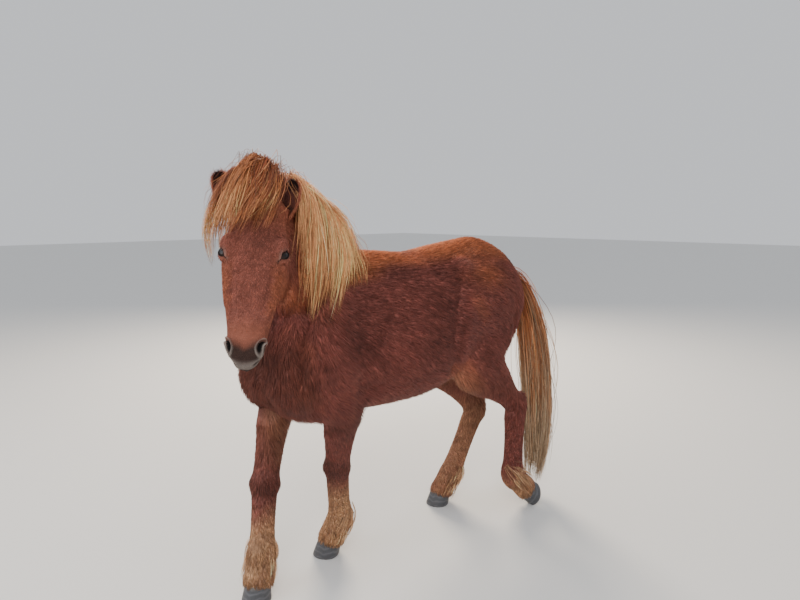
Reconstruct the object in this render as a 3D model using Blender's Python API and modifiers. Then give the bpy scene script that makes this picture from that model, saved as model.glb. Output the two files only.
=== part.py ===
"""A life-size still model of an Icelandic horse in its winter coat.

The horse walks and turns to its left, with its head round to the left as well. The frame
has +X forward along the chest, +Y to the horse's left and +Z up, in metres. The flesh is
lofted from sections, fused and smoothed as one body, and then parted with thin cuts into
the nodes that a person would name.
"""
import math
import random

import bmesh
import bpy
import numpy as np
from mathutils import Matrix, Vector
from mathutils.bvhtree import BVHTree

# Driving sizes, in metres and degrees
WITHERS_HEIGHT = 1.302
CROUP_HEIGHT = 1.337
BACK_HEIGHT = 1.283
GIRTH_HEIGHT = 0.665
BELLY_HALF_WIDTH = 0.272
HEAD_YAW = 51.0
HEAD_SLOPE = 25.0
HEAD_ROLL = -3.5
EYES_MIDDLE = Vector((0.747, 0.154, 1.326))
EYE_SPREAD = 0.088
EYE_RADIUS = 0.021
BODY_BEND = -12.0
BEND_FRONT = 0.28
BEND_BACK = -0.30
CUT_GAP = 0.0003
HAIR_GAP = 0.0002
EAR_GAP = 0.0014

# Fineness of the fused body
VOXEL = 0.0075
SMOOTH_ROUNDS = 7
TRUNK_SMOOTH_ROUNDS = 40
HEAD_TRIANGLES = 1300
NECK_TRIANGLES = 600
TORSO_TRIANGLES = 3500
LEG_TRIANGLES = 380
RING_POINTS = 20

# Moves the finished model so that the origin lies under the middle of its bounding box
ORIGIN_SHIFT = Vector((0.0022, -0.0430, 0.0))

UP = Vector((0.0, 0.0, 1.0))


def clear_scene():
    for obj in list(bpy.data.objects):
        bpy.data.objects.remove(obj)


def make_collection(name):
    group = bpy.data.collections.new(name)
    bpy.context.scene.collection.children.link(group)
    return group


def make_material(name, colour, roughness, metallic=0.0):
    material = bpy.data.materials.new(name)
    material.use_nodes = True
    shader = material.node_tree.nodes["Principled BSDF"]
    shader.inputs["Base Color"].default_value = (*colour, 1.0)
    shader.inputs["Roughness"].default_value = roughness
    shader.inputs["Metallic"].default_value = metallic
    return material


def smooth_rise(value, low, high):
    """0 at low, 1 at high, with a soft start and end."""
    share = min(1.0, max(0.0, (value - low) / (high - low)))
    return share * share * (3.0 - 2.0 * share)


def bent(point):
    """A point of the straight body, moved as the trunk bends to the left behind the shoulders."""
    steps = 24
    reach = BEND_FRONT - point.x
    if reach <= 0.0:
        return point.copy()
    step = reach / steps
    x, y, yaw = BEND_FRONT, 0.0, 0.0
    for k in range(steps):
        middle = BEND_FRONT - (k + 0.5) * step
        yaw = math.radians(BODY_BEND) * (1.0 - smooth_rise(middle, BEND_BACK, BEND_FRONT))
        x -= math.cos(yaw) * step
        y -= math.sin(yaw) * step
    return Vector((x - math.sin(yaw) * point.y, y + math.cos(yaw) * point.y, point.z))


def through(keys, per_span):
    """Rows of numbers on a smooth curve through the key rows (Catmull-Rom)."""
    keys = [np.array(k, float) for k in keys]
    padded = [2 * keys[0] - keys[1]] + keys + [2 * keys[-1] - keys[-2]]
    rows = []
    for i in range(1, len(padded) - 2):
        a, b, c, d = padded[i - 1:i + 3]
        for k in range(per_span):
            t = k / per_span
            rows.append(0.5 * (2 * b + (c - a) * t + (2 * a - 5 * b + 4 * c - d) * t ** 2
                               + (3 * b - a - 3 * c + d) * t ** 3))
    rows.append(keys[-1])
    return rows


def ring(centre, side, rise_axis, half_width, rise, drop, power_up, power_down, count=RING_POINTS):
    """A closed section: a superellipse with its own height and fullness above and below."""
    points = []
    for k in range(count):
        angle = 2.0 * math.pi * k / count
        c, s = math.cos(angle), math.sin(angle)
        power = power_up if s > 0 else power_down
        across = half_width * math.copysign(abs(c) ** (2.0 / power), c)
        along = (rise if s > 0 else drop) * math.copysign(abs(s) ** (2.0 / power), s)
        points.append(centre + side * across + rise_axis * along)
    return points


def loft(rings, fan=True):
    """A closed mesh through the rings, with a fan or a flat cap at each end."""
    mesh = bmesh.new()
    rows = [[mesh.verts.new(p) for p in points] for points in rings]
    count = len(rows[0])
    for first, second in zip(rows, rows[1:]):
        for k in range(count):
            mesh.faces.new((first[k], first[(k + 1) % count], second[(k + 1) % count], second[k]))
    if not fan:
        caps = [mesh.faces.new(rows[0]), mesh.faces.new(rows[-1])]
        bmesh.ops.triangulate(mesh, faces=caps, ngon_method="EAR_CLIP")
    for row in (rows[0], rows[-1]) if fan else ():
        middle = mesh.verts.new(sum((v.co for v in row), Vector()) / count)
        for k in range(count):
            mesh.faces.new((row[k], row[(k + 1) % count], middle))
    bmesh.ops.recalc_face_normals(mesh, faces=mesh.faces)
    return mesh


def sweep(keys, side, per_span=5, powers=(2.0, 2.0), count=RING_POINTS):
    """A loft along a path. A key is (x, y, z, half width, front or top reach, back or under reach)."""
    rows = through(keys, per_span)
    centres = [Vector(r[:3]) for r in rows]
    rings = []
    for k, row in enumerate(rows):
        ahead = centres[min(k + 1, len(centres) - 1)]
        behind = centres[max(k - 1, 0)]
        along = (ahead - behind).normalized()
        across = (side - along * side.dot(along)).normalized()
        rise_axis = across.cross(along).normalized()
        rings.append(ring(centres[k], across, rise_axis, max(row[3], 0.004), max(row[4], 0.004),
                          max(row[5], 0.004), *powers, count))
    return loft(rings)


def ball(centre, radii, turn=None, around=24):
    """An ellipsoid, turned by a 3 by 3 matrix."""
    mesh = bmesh.new()
    bmesh.ops.create_uvsphere(mesh, u_segments=around, v_segments=around * 2 // 3, radius=1.0)
    scale = Matrix.Diagonal((*radii, 1.0))
    turned = (turn or Matrix.Identity(3)).to_4x4()
    bmesh.ops.transform(mesh, matrix=Matrix.Translation(centre) @ turned @ scale, verts=mesh.verts)
    return mesh


def join_meshes(meshes, name):
    """One object that holds every mesh as a loose shell."""
    data = bpy.data.meshes.new(name)
    whole = bmesh.new()
    for mesh in meshes:
        mesh.to_mesh(data)
        whole.from_mesh(data)
        mesh.free()
    whole.to_mesh(data)
    whole.free()
    obj = bpy.data.objects.new(name, data)
    bpy.context.scene.collection.objects.link(obj)
    return obj


def applied(obj):
    """The object with its modifiers applied."""
    graph = bpy.context.evaluated_depsgraph_get()
    data = bpy.data.meshes.new_from_object(obj.evaluated_get(graph))
    obj.modifiers.clear()
    obj.data = data
    return obj


# Trunk

def trunk():
    """The barrel from the breast to the buttocks. A key is s, top, bottom, half width, height of
    the widest place, and the fullness above and below it."""
    keys = [
        (0.635, 0.98, 0.82, 0.09, 0.90, 2.0, 2.0),
        (0.60, 1.06, 0.745, 0.158, 0.89, 2.1, 2.1),
        (0.53, 1.16, 0.69, 0.205, 0.90, 2.0, 2.3),
        (0.42, 1.25, GIRTH_HEIGHT, 0.222, 0.92, 1.85, 2.3),
        (0.29, 1.295, GIRTH_HEIGHT - 0.005, 0.235, 0.93, 1.7, 2.2),
        (0.20, WITHERS_HEIGHT, GIRTH_HEIGHT - 0.005, 0.248, 0.93, 1.7, 2.2),
        (0.08, 1.293, GIRTH_HEIGHT - 0.008, BELLY_HALF_WIDTH - 0.006, 0.92, 1.85, 2.2),
        (-0.06, BACK_HEIGHT, GIRTH_HEIGHT - 0.005, BELLY_HALF_WIDTH, 0.93, 2.0, 2.2),
        (-0.20, BACK_HEIGHT + 0.022, 0.69, BELLY_HALF_WIDTH - 0.005, 0.96, 2.05, 2.2),
        (-0.32, CROUP_HEIGHT - 0.014, 0.755, 0.245, 1.03, 2.1, 2.1),
        (-0.43, CROUP_HEIGHT, 0.82, 0.232, 1.04, 2.0, 2.0),
        (-0.55, CROUP_HEIGHT - 0.045, 0.88, 0.205, 1.04, 2.0, 2.0),
        (-0.63, 1.215, 0.93, 0.16, 1.03, 2.0, 2.0),
        (-0.68, 1.14, 0.97, 0.09, 1.03, 2.0, 2.0),
    ]
    rings = []
    for s, top, bottom, width, middle, up_power, down_power in through(keys, 4):
        points = ring(Vector((s, 0, middle)), Vector((0, 1, 0)), UP, width, top - middle,
                      middle - bottom, up_power, down_power, 40)
        rings.append([bent(p) for p in points])
    return loft(rings)


def shoulder(sign):
    """The shoulder blade with its muscle, from the withers down to the point of the shoulder."""
    keys = [
        (0.22, sign * 0.050, 1.235, 0.02, 0.05, 0.05),
        (0.28, sign * 0.085, 1.16, 0.045, 0.12, 0.12),
        (0.36, sign * 0.130, 1.05, 0.066, 0.15, 0.15),
        (0.44, sign * 0.150, 0.95, 0.074, 0.15, 0.15),
        (0.51, sign * 0.150, 0.87, 0.068, 0.12, 0.12),
        (0.56, sign * 0.140, 0.80, 0.045, 0.07, 0.07),
        (0.58, sign * 0.130, 0.76, 0.015, 0.02, 0.02),
    ]
    return sweep(keys, Vector((0, 1, 0)))


def pelvis(sign):
    """The point of the hip and the rounded croup muscle behind it."""
    hip_point = ball(bent(Vector((-0.25, sign * 0.145, 1.165))), (0.12, 0.058, 0.085))
    croup = ball(bent(Vector((-0.44, sign * 0.100, 1.09))), (0.20, 0.132, 0.15))
    return [hip_point, croup]


# Legs

def foreleg(sign, shoulder_joint, elbow, knee, fetlock, coronet, side):
    """Upper arm, forearm, knee, cannon, fetlock and pastern of one foreleg, down to the coronet."""
    def between(a, b, share):
        return a.lerp(b, share)

    upper = sweep([
        (*between(shoulder_joint, elbow, -0.15), 0.05, 0.06, 0.06),
        (*between(shoulder_joint, elbow, 0.2), 0.075, 0.10, 0.12),
        (*between(shoulder_joint, elbow, 0.6), 0.078, 0.105, 0.13),
        (*between(elbow, knee, 0.05), 0.075, 0.088, 0.098),
        (*between(elbow, knee, 0.30), 0.068, 0.076, 0.078),
        (*between(elbow, knee, 0.60), 0.056, 0.060, 0.060),
        (*between(elbow, knee, 0.85), 0.052, 0.052, 0.052),
        (*knee, 0.059, 0.056, 0.055),
        (*between(knee, fetlock, 0.16), 0.052, 0.047, 0.052),
        (*between(knee, fetlock, 0.40), 0.048, 0.043, 0.052),
        (*between(knee, fetlock, 0.75), 0.048, 0.043, 0.053),
        (*fetlock, 0.058, 0.054, 0.064),
        (*between(fetlock, coronet, 0.45), 0.057, 0.053, 0.060),
        (*between(fetlock, coronet, 0.95), 0.060, 0.058, 0.060),
        (*between(fetlock, coronet, 1.7), 0.058, 0.056, 0.056),
    ], side, per_span=4)
    arm = ball(between(shoulder_joint, elbow, 0.62) + Vector((-0.035, -0.012 * sign, 0.045)), (0.11, 0.05, 0.12))
    return [upper, arm]


def hindleg(hip, stifle, hock, fetlock, coronet, side):
    """Thigh, gaskin, hock, cannon, fetlock and pastern of one hind leg, down to the coronet."""
    def between(a, b, share):
        return a.lerp(b, share)

    thigh = sweep([
        (*(hip + Vector((0.00, 0, 0.16))), 0.06, 0.12, 0.12),
        (*(hip + Vector((-0.01, 0, 0.05))), 0.088, 0.17, 0.19),
        (*between(hip, stifle, 0.45), 0.092, 0.155, 0.225),
        (*between(hip, stifle, 0.88), 0.088, 0.120, 0.205),
        (*between(stifle, hock, 0.22), 0.080, 0.104, 0.150),
        (*between(stifle, hock, 0.50), 0.066, 0.084, 0.098),
        (*between(stifle, hock, 0.80), 0.049, 0.058, 0.060),
        (*hock, 0.050, 0.058, 0.062),
        (*between(hock, fetlock, 0.14), 0.050, 0.050, 0.058),
        (*between(hock, fetlock, 0.40), 0.045, 0.045, 0.053),
        (*between(hock, fetlock, 0.78), 0.047, 0.045, 0.055),
        (*fetlock, 0.057, 0.053, 0.064),
        (*between(fetlock, coronet, 0.45), 0.056, 0.052, 0.060),
        (*between(fetlock, coronet, 0.95), 0.059, 0.057, 0.059),
        (*between(fetlock, coronet, 1.7), 0.057, 0.055, 0.055),
    ], side, per_span=4)
    point_of_hock = ball(hock + Vector((-0.036, 0, 0.012)), (0.030, 0.032, 0.060))
    return [thigh, point_of_hock]


# Head

class HeadFrame:
    """Directions fixed to the head: down is along the face to the nose, out is away from it."""

    def __init__(self):
        yaw, slope = math.radians(HEAD_YAW), math.radians(HEAD_SLOPE)
        heading = Vector((math.cos(yaw), math.sin(yaw), 0))
        self.down = heading * math.sin(slope) - UP * math.cos(slope)
        self.out = heading * math.cos(slope) + UP * math.sin(slope)
        self.left = UP.cross(heading)
        roll = Matrix.Rotation(math.radians(HEAD_ROLL), 3, heading)
        self.down, self.out, self.left = (roll @ v for v in (self.down, self.out, self.left))

    def at(self, down, left, out):
        return EYES_MIDDLE + self.down * down + self.left * left + self.out * out

    def turn(self):
        return Matrix((self.down, self.left, self.out)).transposed()


HEAD = HeadFrame()


def skull():
    """The head from the poll to the lips. A key is the distance down the face, half width, and
    the reach to the face and to the jaw from a middle line."""
    keys = [
        (-0.250, -0.120, 0.040, 0.040, 0.05),
        (-0.215, -0.115, 0.072, 0.072, 0.085),
        (-0.145, -0.108, 0.088, 0.092, 0.10),
        (-0.06, -0.100, 0.103, 0.094, 0.118),
        (0.005, -0.096, 0.108, 0.092, 0.128),
        (0.06, -0.090, 0.102, 0.088, 0.116),
        (0.12, -0.082, 0.090, 0.080, 0.094),
        (0.18, -0.075, 0.078, 0.072, 0.072),
        (0.24, -0.071, 0.070, 0.066, 0.057),
        (0.29, -0.069, 0.066, 0.060, 0.050),
        (0.325, -0.067, 0.065, 0.050, 0.046),
        (0.352, -0.067, 0.053, 0.036, 0.040),
        (0.370, -0.067, 0.030, 0.018, 0.024),
    ]
    rings = []
    for down, middle, width, face, jaw in through(keys, 4):
        rings.append(ring(HEAD.at(down, 0, middle), HEAD.left, HEAD.out, width, face, jaw, 2.35, 2.1, 28))
    return loft(rings)


def head_forms():
    """The masses that shape the head: cheeks, brows, crests, chin and nostril walls."""
    turn = HEAD.turn()
    forms = [skull()]
    forms.append(ball(HEAD.at(-0.235, 0, -0.090), (0.060, 0.062, 0.050), turn))
    forms.append(ball(HEAD.at(0.332, 0, -0.112), (0.040, 0.036, 0.024), turn))
    forms.append(ball(HEAD.at(0.19, 0, -0.115), (0.12, 0.032, 0.022), turn))
    for sign in (1, -1):
        forms.append(ball(HEAD.at(0.02, sign * 0.066, -0.145), (0.105, 0.042, 0.088), turn))
        forms.append(ball(HEAD.at(-0.020, sign * 0.078, -0.034), (0.050, 0.034, 0.028), turn))
        forms.append(ball(HEAD.at(0.085, sign * 0.074, -0.076), (0.075, 0.024, 0.018), turn))
        forms.append(ball(HEAD.at(0.298, sign * 0.042, -0.040), (0.038, 0.026, 0.034), turn))
        forms.append(ball(HEAD.at(-0.165, sign * 0.062, -0.095), (0.045, 0.036, 0.040), turn))
    return forms


def neck():
    """The neck with its crest, from the shoulders round to the poll."""
    keys = [
        (0.26, 0.0, 1.00, 0.19, 0.25, 0.24),
        (0.36, 0.0, 1.09, 0.178, 0.25, 0.235),
        (0.45, 0.0, 1.19, 0.146, 0.22, 0.19),
        (0.53, -0.008, 1.29, 0.122, 0.20, 0.145),
        (0.580, -0.006, 1.385, 0.106, 0.178, 0.12),
        (0.606, 0.004, 1.445, 0.092, 0.150, 0.10),
    ]
    return neck_rings(through(keys, 4))


def neck_rings(rows):
    """The sections of the neck, turning with it from the chest's heading towards the head's."""
    sides = [Vector((0, 1, 0)).lerp(Vector((-0.65, 0.76, 0)), k / (len(rows) - 1)) for k in range(len(rows))]
    centres = [Vector(r[:3]) for r in rows]
    rings = []
    for k, row in enumerate(rows):
        along = (centres[min(k + 1, len(rows) - 1)] - centres[max(k - 1, 0)]).normalized()
        across = (sides[k] - along * sides[k].dot(along)).normalized()
        rise_axis = along.cross(across).normalized()
        if rise_axis.z < 0:
            rise_axis = -rise_axis
        rings.append(ring(centres[k], across, rise_axis, row[3], row[4], row[5], 1.75, 2.0, 28))
    return rings


def hoof_place(centre, yaw, tip=0.0, height=0.082, roll=0.0):
    """The frame of one hoof: its ground centre, its toe, side and up directions, and its coronet."""
    toe = Vector((math.cos(math.radians(yaw)), math.sin(math.radians(yaw)), 0))
    side = UP.cross(toe)
    turn = Matrix.Rotation(math.radians(tip), 3, side)
    toe, up = turn @ toe, turn @ UP
    top = (up * math.cos(math.radians(17)) - toe * math.sin(math.radians(17))).normalized()
    return dict(centre=centre, toe=toe, side=side, up=up, top=top,
                coronet=centre + up * height * 0.74 - toe * 0.018)


def toe_rest(contact, yaw, tip, reach=0.0595, sink=0.0025):
    """A flexed hoof that stands on its toe at the contact point."""
    frame = hoof_place(contact, yaw, tip)
    return hoof_place(contact - frame["toe"] * reach - UP * sink, yaw, tip)


HOOVES = dict(
    left_fore=hoof_place(Vector((0.300, -0.085, 0.0)), -22.0),
    right_fore=hoof_place(Vector((0.675, -0.030, 0.0)), 35.0),
    left_hind=toe_rest(Vector((-0.690, 0.292, 0.0)), -27.0, 72.0),
    right_hind=hoof_place(Vector((-0.368, -0.045, 0.0)), -24.0),
)

# Joints of the legs, walking and turning to the left
LEFT_FORE = dict(
    shoulder_joint=Vector((0.53, 0.135, 0.90)), elbow=Vector((0.375, 0.128, 0.745)),
    knee=Vector((0.290, -0.018, 0.412)), fetlock=Vector((0.250, -0.050, 0.162)),
    coronet=HOOVES["left_fore"]["coronet"])
RIGHT_FORE = dict(
    shoulder_joint=Vector((0.575, -0.155, 0.90)), elbow=Vector((0.455, -0.190, 0.745)),
    knee=Vector((0.585, -0.092, 0.418)), fetlock=Vector((0.630, -0.055, 0.168)),
    coronet=HOOVES["right_fore"]["coronet"])
LEFT_HIND = dict(
    hip=Vector((-0.465, 0.195, 1.00)), stifle=Vector((-0.350, 0.205, 0.80)),
    hock=Vector((-0.612, 0.235, 0.520)), fetlock=Vector((-0.585, 0.250, 0.180)),
    coronet=HOOVES["left_hind"]["coronet"])
RIGHT_HIND = dict(
    hip=Vector((-0.49, -0.045, 1.00)), stifle=Vector((-0.400, -0.085, 0.78)),
    hock=Vector((-0.580, 0.015, 0.455)), fetlock=Vector((-0.430, -0.015, 0.145)),
    coronet=HOOVES["right_hind"]["coronet"])


def fused_body():
    """Every form of flesh fused, smoothed and thinned to one closed surface."""
    meshes = [trunk(), loft(neck())]
    for sign in (1, -1):
        meshes.append(shoulder(sign))
        meshes.extend(pelvis(sign))
    meshes.extend(foreleg(1, side=Vector((0.1, 1, 0)), **LEFT_FORE))
    meshes.extend(foreleg(-1, side=Vector((-0.5, 1, 0)), **RIGHT_FORE))
    meshes.extend(hindleg(side=Vector((0.2, 1, 0)), **LEFT_HIND))
    meshes.extend(hindleg(side=Vector((0.25, 1, 0)), **RIGHT_HIND))
    meshes.extend(head_forms())
    body = join_meshes(meshes, "body")
    remesh = body.modifiers.new("fuse", "REMESH")
    remesh.mode = "VOXEL"
    remesh.voxel_size = VOXEL
    trunk_area = body.vertex_groups.new(name="trunk")
    soften = body.modifiers.new("soften", "SMOOTH")
    soften.factor = 0.5
    soften.iterations = SMOOTH_ROUNDS
    applied(body)
    for vertex in body.data.vertices:
        x, y, z = vertex.co
        ahead = (vertex.co - EYES_MIDDLE).dot(HEAD.out)
        share = smooth_rise(z, 0.55, 0.75) * (1.0 - smooth_rise(ahead, -0.30, -0.22) * smooth_rise(z, 1.0, 1.1))
        trunk_area.add([vertex.index], share, "REPLACE")
    blend = body.modifiers.new("blend", "SMOOTH")
    blend.factor = 0.5
    blend.iterations = TRUNK_SMOOTH_ROUNDS
    blend.vertex_group = "trunk"
    return applied(body)


# Parting

def inside_planes(planes, grow=0.0):
    """The closed solid inside every plane. A plane is a point and its outward direction."""
    mesh = bmesh.new()
    bmesh.ops.create_cube(mesh, size=6.0)
    for point, direction in planes:
        normal = Vector(direction).normalized()
        cut = bmesh.ops.bisect_plane(
            mesh, geom=mesh.verts[:] + mesh.edges[:] + mesh.faces[:], dist=1e-7,
            plane_co=Vector(point) + normal * grow, plane_no=normal, clear_outer=True)
        edges = [e for e in cut["geom_cut"] if isinstance(e, bmesh.types.BMEdge)]
        bmesh.ops.contextual_create(mesh, geom=edges)
    bmesh.ops.triangulate(mesh, faces=mesh.faces)
    bmesh.ops.recalc_face_normals(mesh, faces=mesh.faces)
    return mesh


def as_object(mesh, name):
    """A linked object that holds the mesh."""
    data = bpy.data.meshes.new(name)
    mesh.to_mesh(data)
    mesh.free()
    obj = bpy.data.objects.new(name, data)
    bpy.context.scene.collection.objects.link(obj)
    return obj


def copied(obj, name):
    twin = bpy.data.objects.new(name, obj.data.copy())
    bpy.context.scene.collection.objects.link(twin)
    return twin


def removed(obj):
    data = obj.data
    bpy.data.objects.remove(obj)
    bpy.data.meshes.remove(data)


def combined(obj, others, operation):
    """The object after one Boolean with the others, which are removed."""
    group = make_collection("operands")
    for other in others:
        group.objects.link(other)
    before = obj.data.copy()
    for solver in ("MANIFOLD", "EXACT"):
        modifier = obj.modifiers.new("combine", "BOOLEAN")
        modifier.operand_type = "COLLECTION"
        modifier.collection = group
        modifier.operation = operation
        modifier.solver = solver
        applied(obj)
        changed = len(obj.data.vertices) != len(before.vertices)
        if changed and len(obj.data.polygons) > 3:
            break
        obj.data = before.copy()
    for other in others:
        removed(other)
    bpy.data.collections.remove(group)
    return obj


def largest_shell(obj):
    """Drops every shell but the one with the most faces."""
    mesh = bmesh.new()
    mesh.from_mesh(obj.data)
    mesh.faces.ensure_lookup_table()
    seen = set()
    shells = []
    for face in mesh.faces:
        if face.index in seen:
            continue
        seen.add(face.index)
        shell, front = [], [face]
        while front:
            current = front.pop()
            shell.append(current)
            for edge in current.edges:
                for other in edge.link_faces:
                    if other.index not in seen:
                        seen.add(other.index)
                        front.append(other)
        shells.append(shell)
    shells.sort(key=len)
    spare = [face for shell in shells[:-1] for face in shell]
    bmesh.ops.delete(mesh, geom=spare, context="FACES")
    loose = [v for v in mesh.verts if not v.link_faces]
    bmesh.ops.delete(mesh, geom=loose, context="VERTS")
    bmesh.ops.triangulate(mesh, faces=mesh.faces)
    mesh.to_mesh(obj.data)
    mesh.free()
    return obj


def sound(obj):
    """True where each edge of the merged surface still has two faces."""
    mesh = bmesh.new()
    mesh.from_mesh(obj.data)
    bmesh.ops.remove_doubles(mesh, verts=mesh.verts, dist=4e-7)
    bmesh.ops.dissolve_degenerate(mesh, edges=mesh.edges, dist=4e-7)
    worst = [e for e in mesh.edges if len(e.link_faces) != 2]
    mesh.free()
    return not worst


def haired(flesh, make_locks, neighbours, ears=(), kept_out=None):
    """The flesh with its locks fused on, clear of its neighbours, made again until it is sound."""
    for attempt in range(8):
        node = combined(copied(flesh, flesh.name), make_locks(), "UNION")
        if kept_out:
            combined(node, [as_object(inside_planes(kept_out), "kept out")], "DIFFERENCE")
        clear_of(node, neighbours)
        clear_of(node, ears, EAR_GAP)
        whole = len(node.data.polygons) > len(flesh.data.polygons)
        if whole and sound(node):
            break
        print("again", flesh.name, attempt, whole)
        removed(node)
    name = flesh.name
    flesh.name = name + "_flesh"
    node.name = name
    return node


def grown(obj, gap):
    """A copy of the object with its surface moved out by the gap."""
    twin = copied(obj, obj.name + "_grown")
    mesh = bmesh.new()
    mesh.from_mesh(twin.data)
    mesh.normal_update()
    moved = [v.co + v.normal * gap for v in mesh.verts]
    for vertex, place in zip(mesh.verts, moved):
        vertex.co = place
    mesh.to_mesh(twin.data)
    mesh.free()
    return twin


def clear_of(obj, neighbours, gap=HAIR_GAP):
    """The object cut back where it would come within the gap of its neighbours."""
    for neighbour in neighbours:
        combined(obj, [grown(neighbour, gap)], "DIFFERENCE")
    return largest_shell(obj)


def thinned(obj, triangles):
    modifier = obj.modifiers.new("thin", "DECIMATE")
    modifier.ratio = min(1.0, triangles / (2.0 * len(obj.data.polygons)))
    return applied(obj)


def piece(body, name, planes, triangles, less=()):
    """The part of the body inside the planes, thinned to about so many triangles."""
    margin = as_object(inside_planes(planes, 0.03), "margin")
    part = combined(copied(body, name), [margin], "INTERSECT")
    mesh = bmesh.new()
    mesh.from_mesh(part.data)
    bmesh.ops.triangulate(mesh, faces=mesh.faces)
    mesh.to_mesh(part.data)
    mesh.free()
    modifier = part.modifiers.new("thin", "DECIMATE")
    modifier.ratio = min(1.0, triangles / len(part.data.polygons))
    applied(part)
    combined(part, [as_object(inside_planes(planes), "cutter")], "INTERSECT")
    for other in less:
        combined(part, [as_object(inside_planes(other, CUT_GAP), "cutter")], "DIFFERENCE")
    return largest_shell(part)


def hoof_form(place, name):
    """A hoof: a flat sole, a wall that slopes back from the toe and a tilted top."""
    rows = ((0.0, 0.95, 0.0), (0.05, 1.0, 0.0), (0.45, 0.93, -0.010), (1.0, 0.83, -0.020))
    rings = []
    for height, share, back in rows:
        points = []
        for k in range(20):
            angle = 2.0 * math.pi * k / 20
            forward = (0.062 if math.cos(angle) > 0 else 0.050) * math.cos(angle) * share + back
            across = 0.056 * math.sin(angle) * share * (1.0 - 0.12 * math.cos(angle) ** 2)
            lift = height
            base = place["centre"] + place["toe"] * forward + place["side"] * across
            top = (place["coronet"] - base).dot(place["top"]) / place["up"].dot(place["top"])
            points.append(base + place["up"] * (top - CUT_GAP * 1.1) * lift)
        rings.append(points)
    return as_object(loft(rings), name)


# Hair

def lock(points, width, thickness, facing, name="lock"):
    """A flat tapered lock along a bent path, from its root to a point."""
    shares = (0.75, 1.0, 1.0, 0.85, 0.55, 0.35) if len(points) > 4 else (0.8, 1.0, 0.8)
    rings = []
    for k, place in enumerate(points[:-1]):
        along = (points[k + 1] - points[max(k - 1, 0)]).normalized()
        across = along.cross(facing[k]).normalized()
        out = across.cross(along).normalized()
        share = shares[min(k, len(shares) - 1)]
        half, deep = width * share, thickness * (0.5 + 0.5 * share)
        rings.append([place + across * half, place + out * deep, place - across * half, place - out * deep])
    mesh = bmesh.new()
    rows = [[mesh.verts.new(p) for p in points] for points in rings]
    for first, second in zip(rows, rows[1:]):
        for k in range(4):
            mesh.faces.new((first[k], first[(k + 1) % 4], second[(k + 1) % 4], second[k]))
    tip = mesh.verts.new(points[-1])
    for k in range(4):
        mesh.faces.new((rows[-1][k], rows[-1][(k + 1) % 4], tip))
    mesh.faces.new(rows[0])
    bmesh.ops.triangulate(mesh, faces=mesh.faces)
    bmesh.ops.recalc_face_normals(mesh, faces=mesh.faces)
    return as_object(mesh, name)


def laid(points, lifts, tree):
    """A path moved out where it would pass under the surface, and the outward direction at each point."""
    placed, facing = [], []
    for point, lift in zip(points, lifts):
        near, normal, _, distance = tree.find_nearest(point)
        inside = (point - near).dot(normal) < 0
        if lift is not None and (inside or distance < lift):
            point = near + normal * lift
        placed.append(point)
        facing.append(normal)
    return placed, facing


def mane_paths():
    """Rough paths of the mane's locks: most fall to the horse's left, some to its right. A tip key
    is the place along the crest, from the withers to the poll, and where a lock there ends."""
    rings = neck()
    tips = through([(0.27, 0.145, 1.21), (0.35, 0.190, 1.13), (0.44, 0.205, 1.07), (0.51, 0.205, 1.06),
                    (0.575, 0.200, 1.16)], 8)
    paths = []
    for number, left, reach, lift in ((11, 1, 1.0, 0.014), (7, 1, 0.72, 0.028), (6, -1, 0.8, 0.020)):
        for k in range(number):
            share = (k + 0.5) / number
            place = 8.0 + share * (len(rings) - 9.2)
            low = int(place)
            crest = rings[low][7].lerp(rings[min(low + 1, len(rings) - 1)][7], place - low)
            middle = sum(rings[low], Vector()) / len(rings[low])
            rise = (crest - middle).normalized()
            end = Vector(tips[int(share * (len(tips) - 1))])
            end.y *= 1.0 if left > 0 else -0.95
            out = Vector((end.x - crest.x, end.y - crest.y, 0)).normalized()
            over = crest + out * 0.075 - UP * 0.035
            end = over.lerp(end, reach * random.uniform(0.92, 1.05))
            end += Vector((random.uniform(-0.02, 0.02), 0, 0))
            shake = Vector([random.uniform(-0.008, 0.008) for _ in range(3)])
            root = crest - rise * 0.055 - out * 0.045 + shake
            paths.append(([root, crest + rise * lift + shake * 0.5, over + shake * 0.5,
                           over.lerp(end, 0.35) + out * 0.030, over.lerp(end, 0.70) + out * 0.020, end], reach))
    return paths


def neck_locks(tree):
    """The mane."""
    locks = []
    for path, reach in mane_paths():
        lift = (0.014 if reach == 1.0 else 0.024) + random.uniform(-0.002, 0.005)
        points, facing = laid(path, (None, 0.012, lift, lift, lift, 0.012), tree)
        locks.append(lock(points, random.uniform(0.032, 0.040), 0.010, facing))
    return locks


def forelock_locks(tree):
    """The forelock, which rises from the poll and sweeps down the forehead to the horse's right."""
    locks = []
    for k in range(11):
        front = k < 5
        place = -1.0 + 2.0 * (k / 4 if front else (k - 5) / 5)
        start = 0.050 * place + random.uniform(-0.005, 0.005)
        drift = random.uniform(-0.075, -0.035)
        long = random.uniform(0.92, 1.1) * (0.8 if front else 1.0)
        crown = (0.012 if front else 0.050) * (1.0 - 0.6 * place * place)
        path = [
            HEAD.at(-0.215, start * 0.8, -0.100),
            HEAD.at(-0.285 - crown, start, -0.075),
            HEAD.at(-0.265 - crown, start + drift * 0.2, -0.035),
            HEAD.at(-0.195 - crown * 0.3, start + drift * 0.5, 0.000),
            HEAD.at(-0.235 + 0.130 * long, start + drift * 0.8, 0.014),
            HEAD.at(-0.245 + 0.26 * long, start + drift, 0.008),
        ]
        points, facing = laid(path, (None, 0.020, 0.018, 0.014, 0.012, 0.008), tree)
        locks.append(lock(points, random.uniform(0.021, 0.027), 0.007, facing))
    return locks


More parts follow.
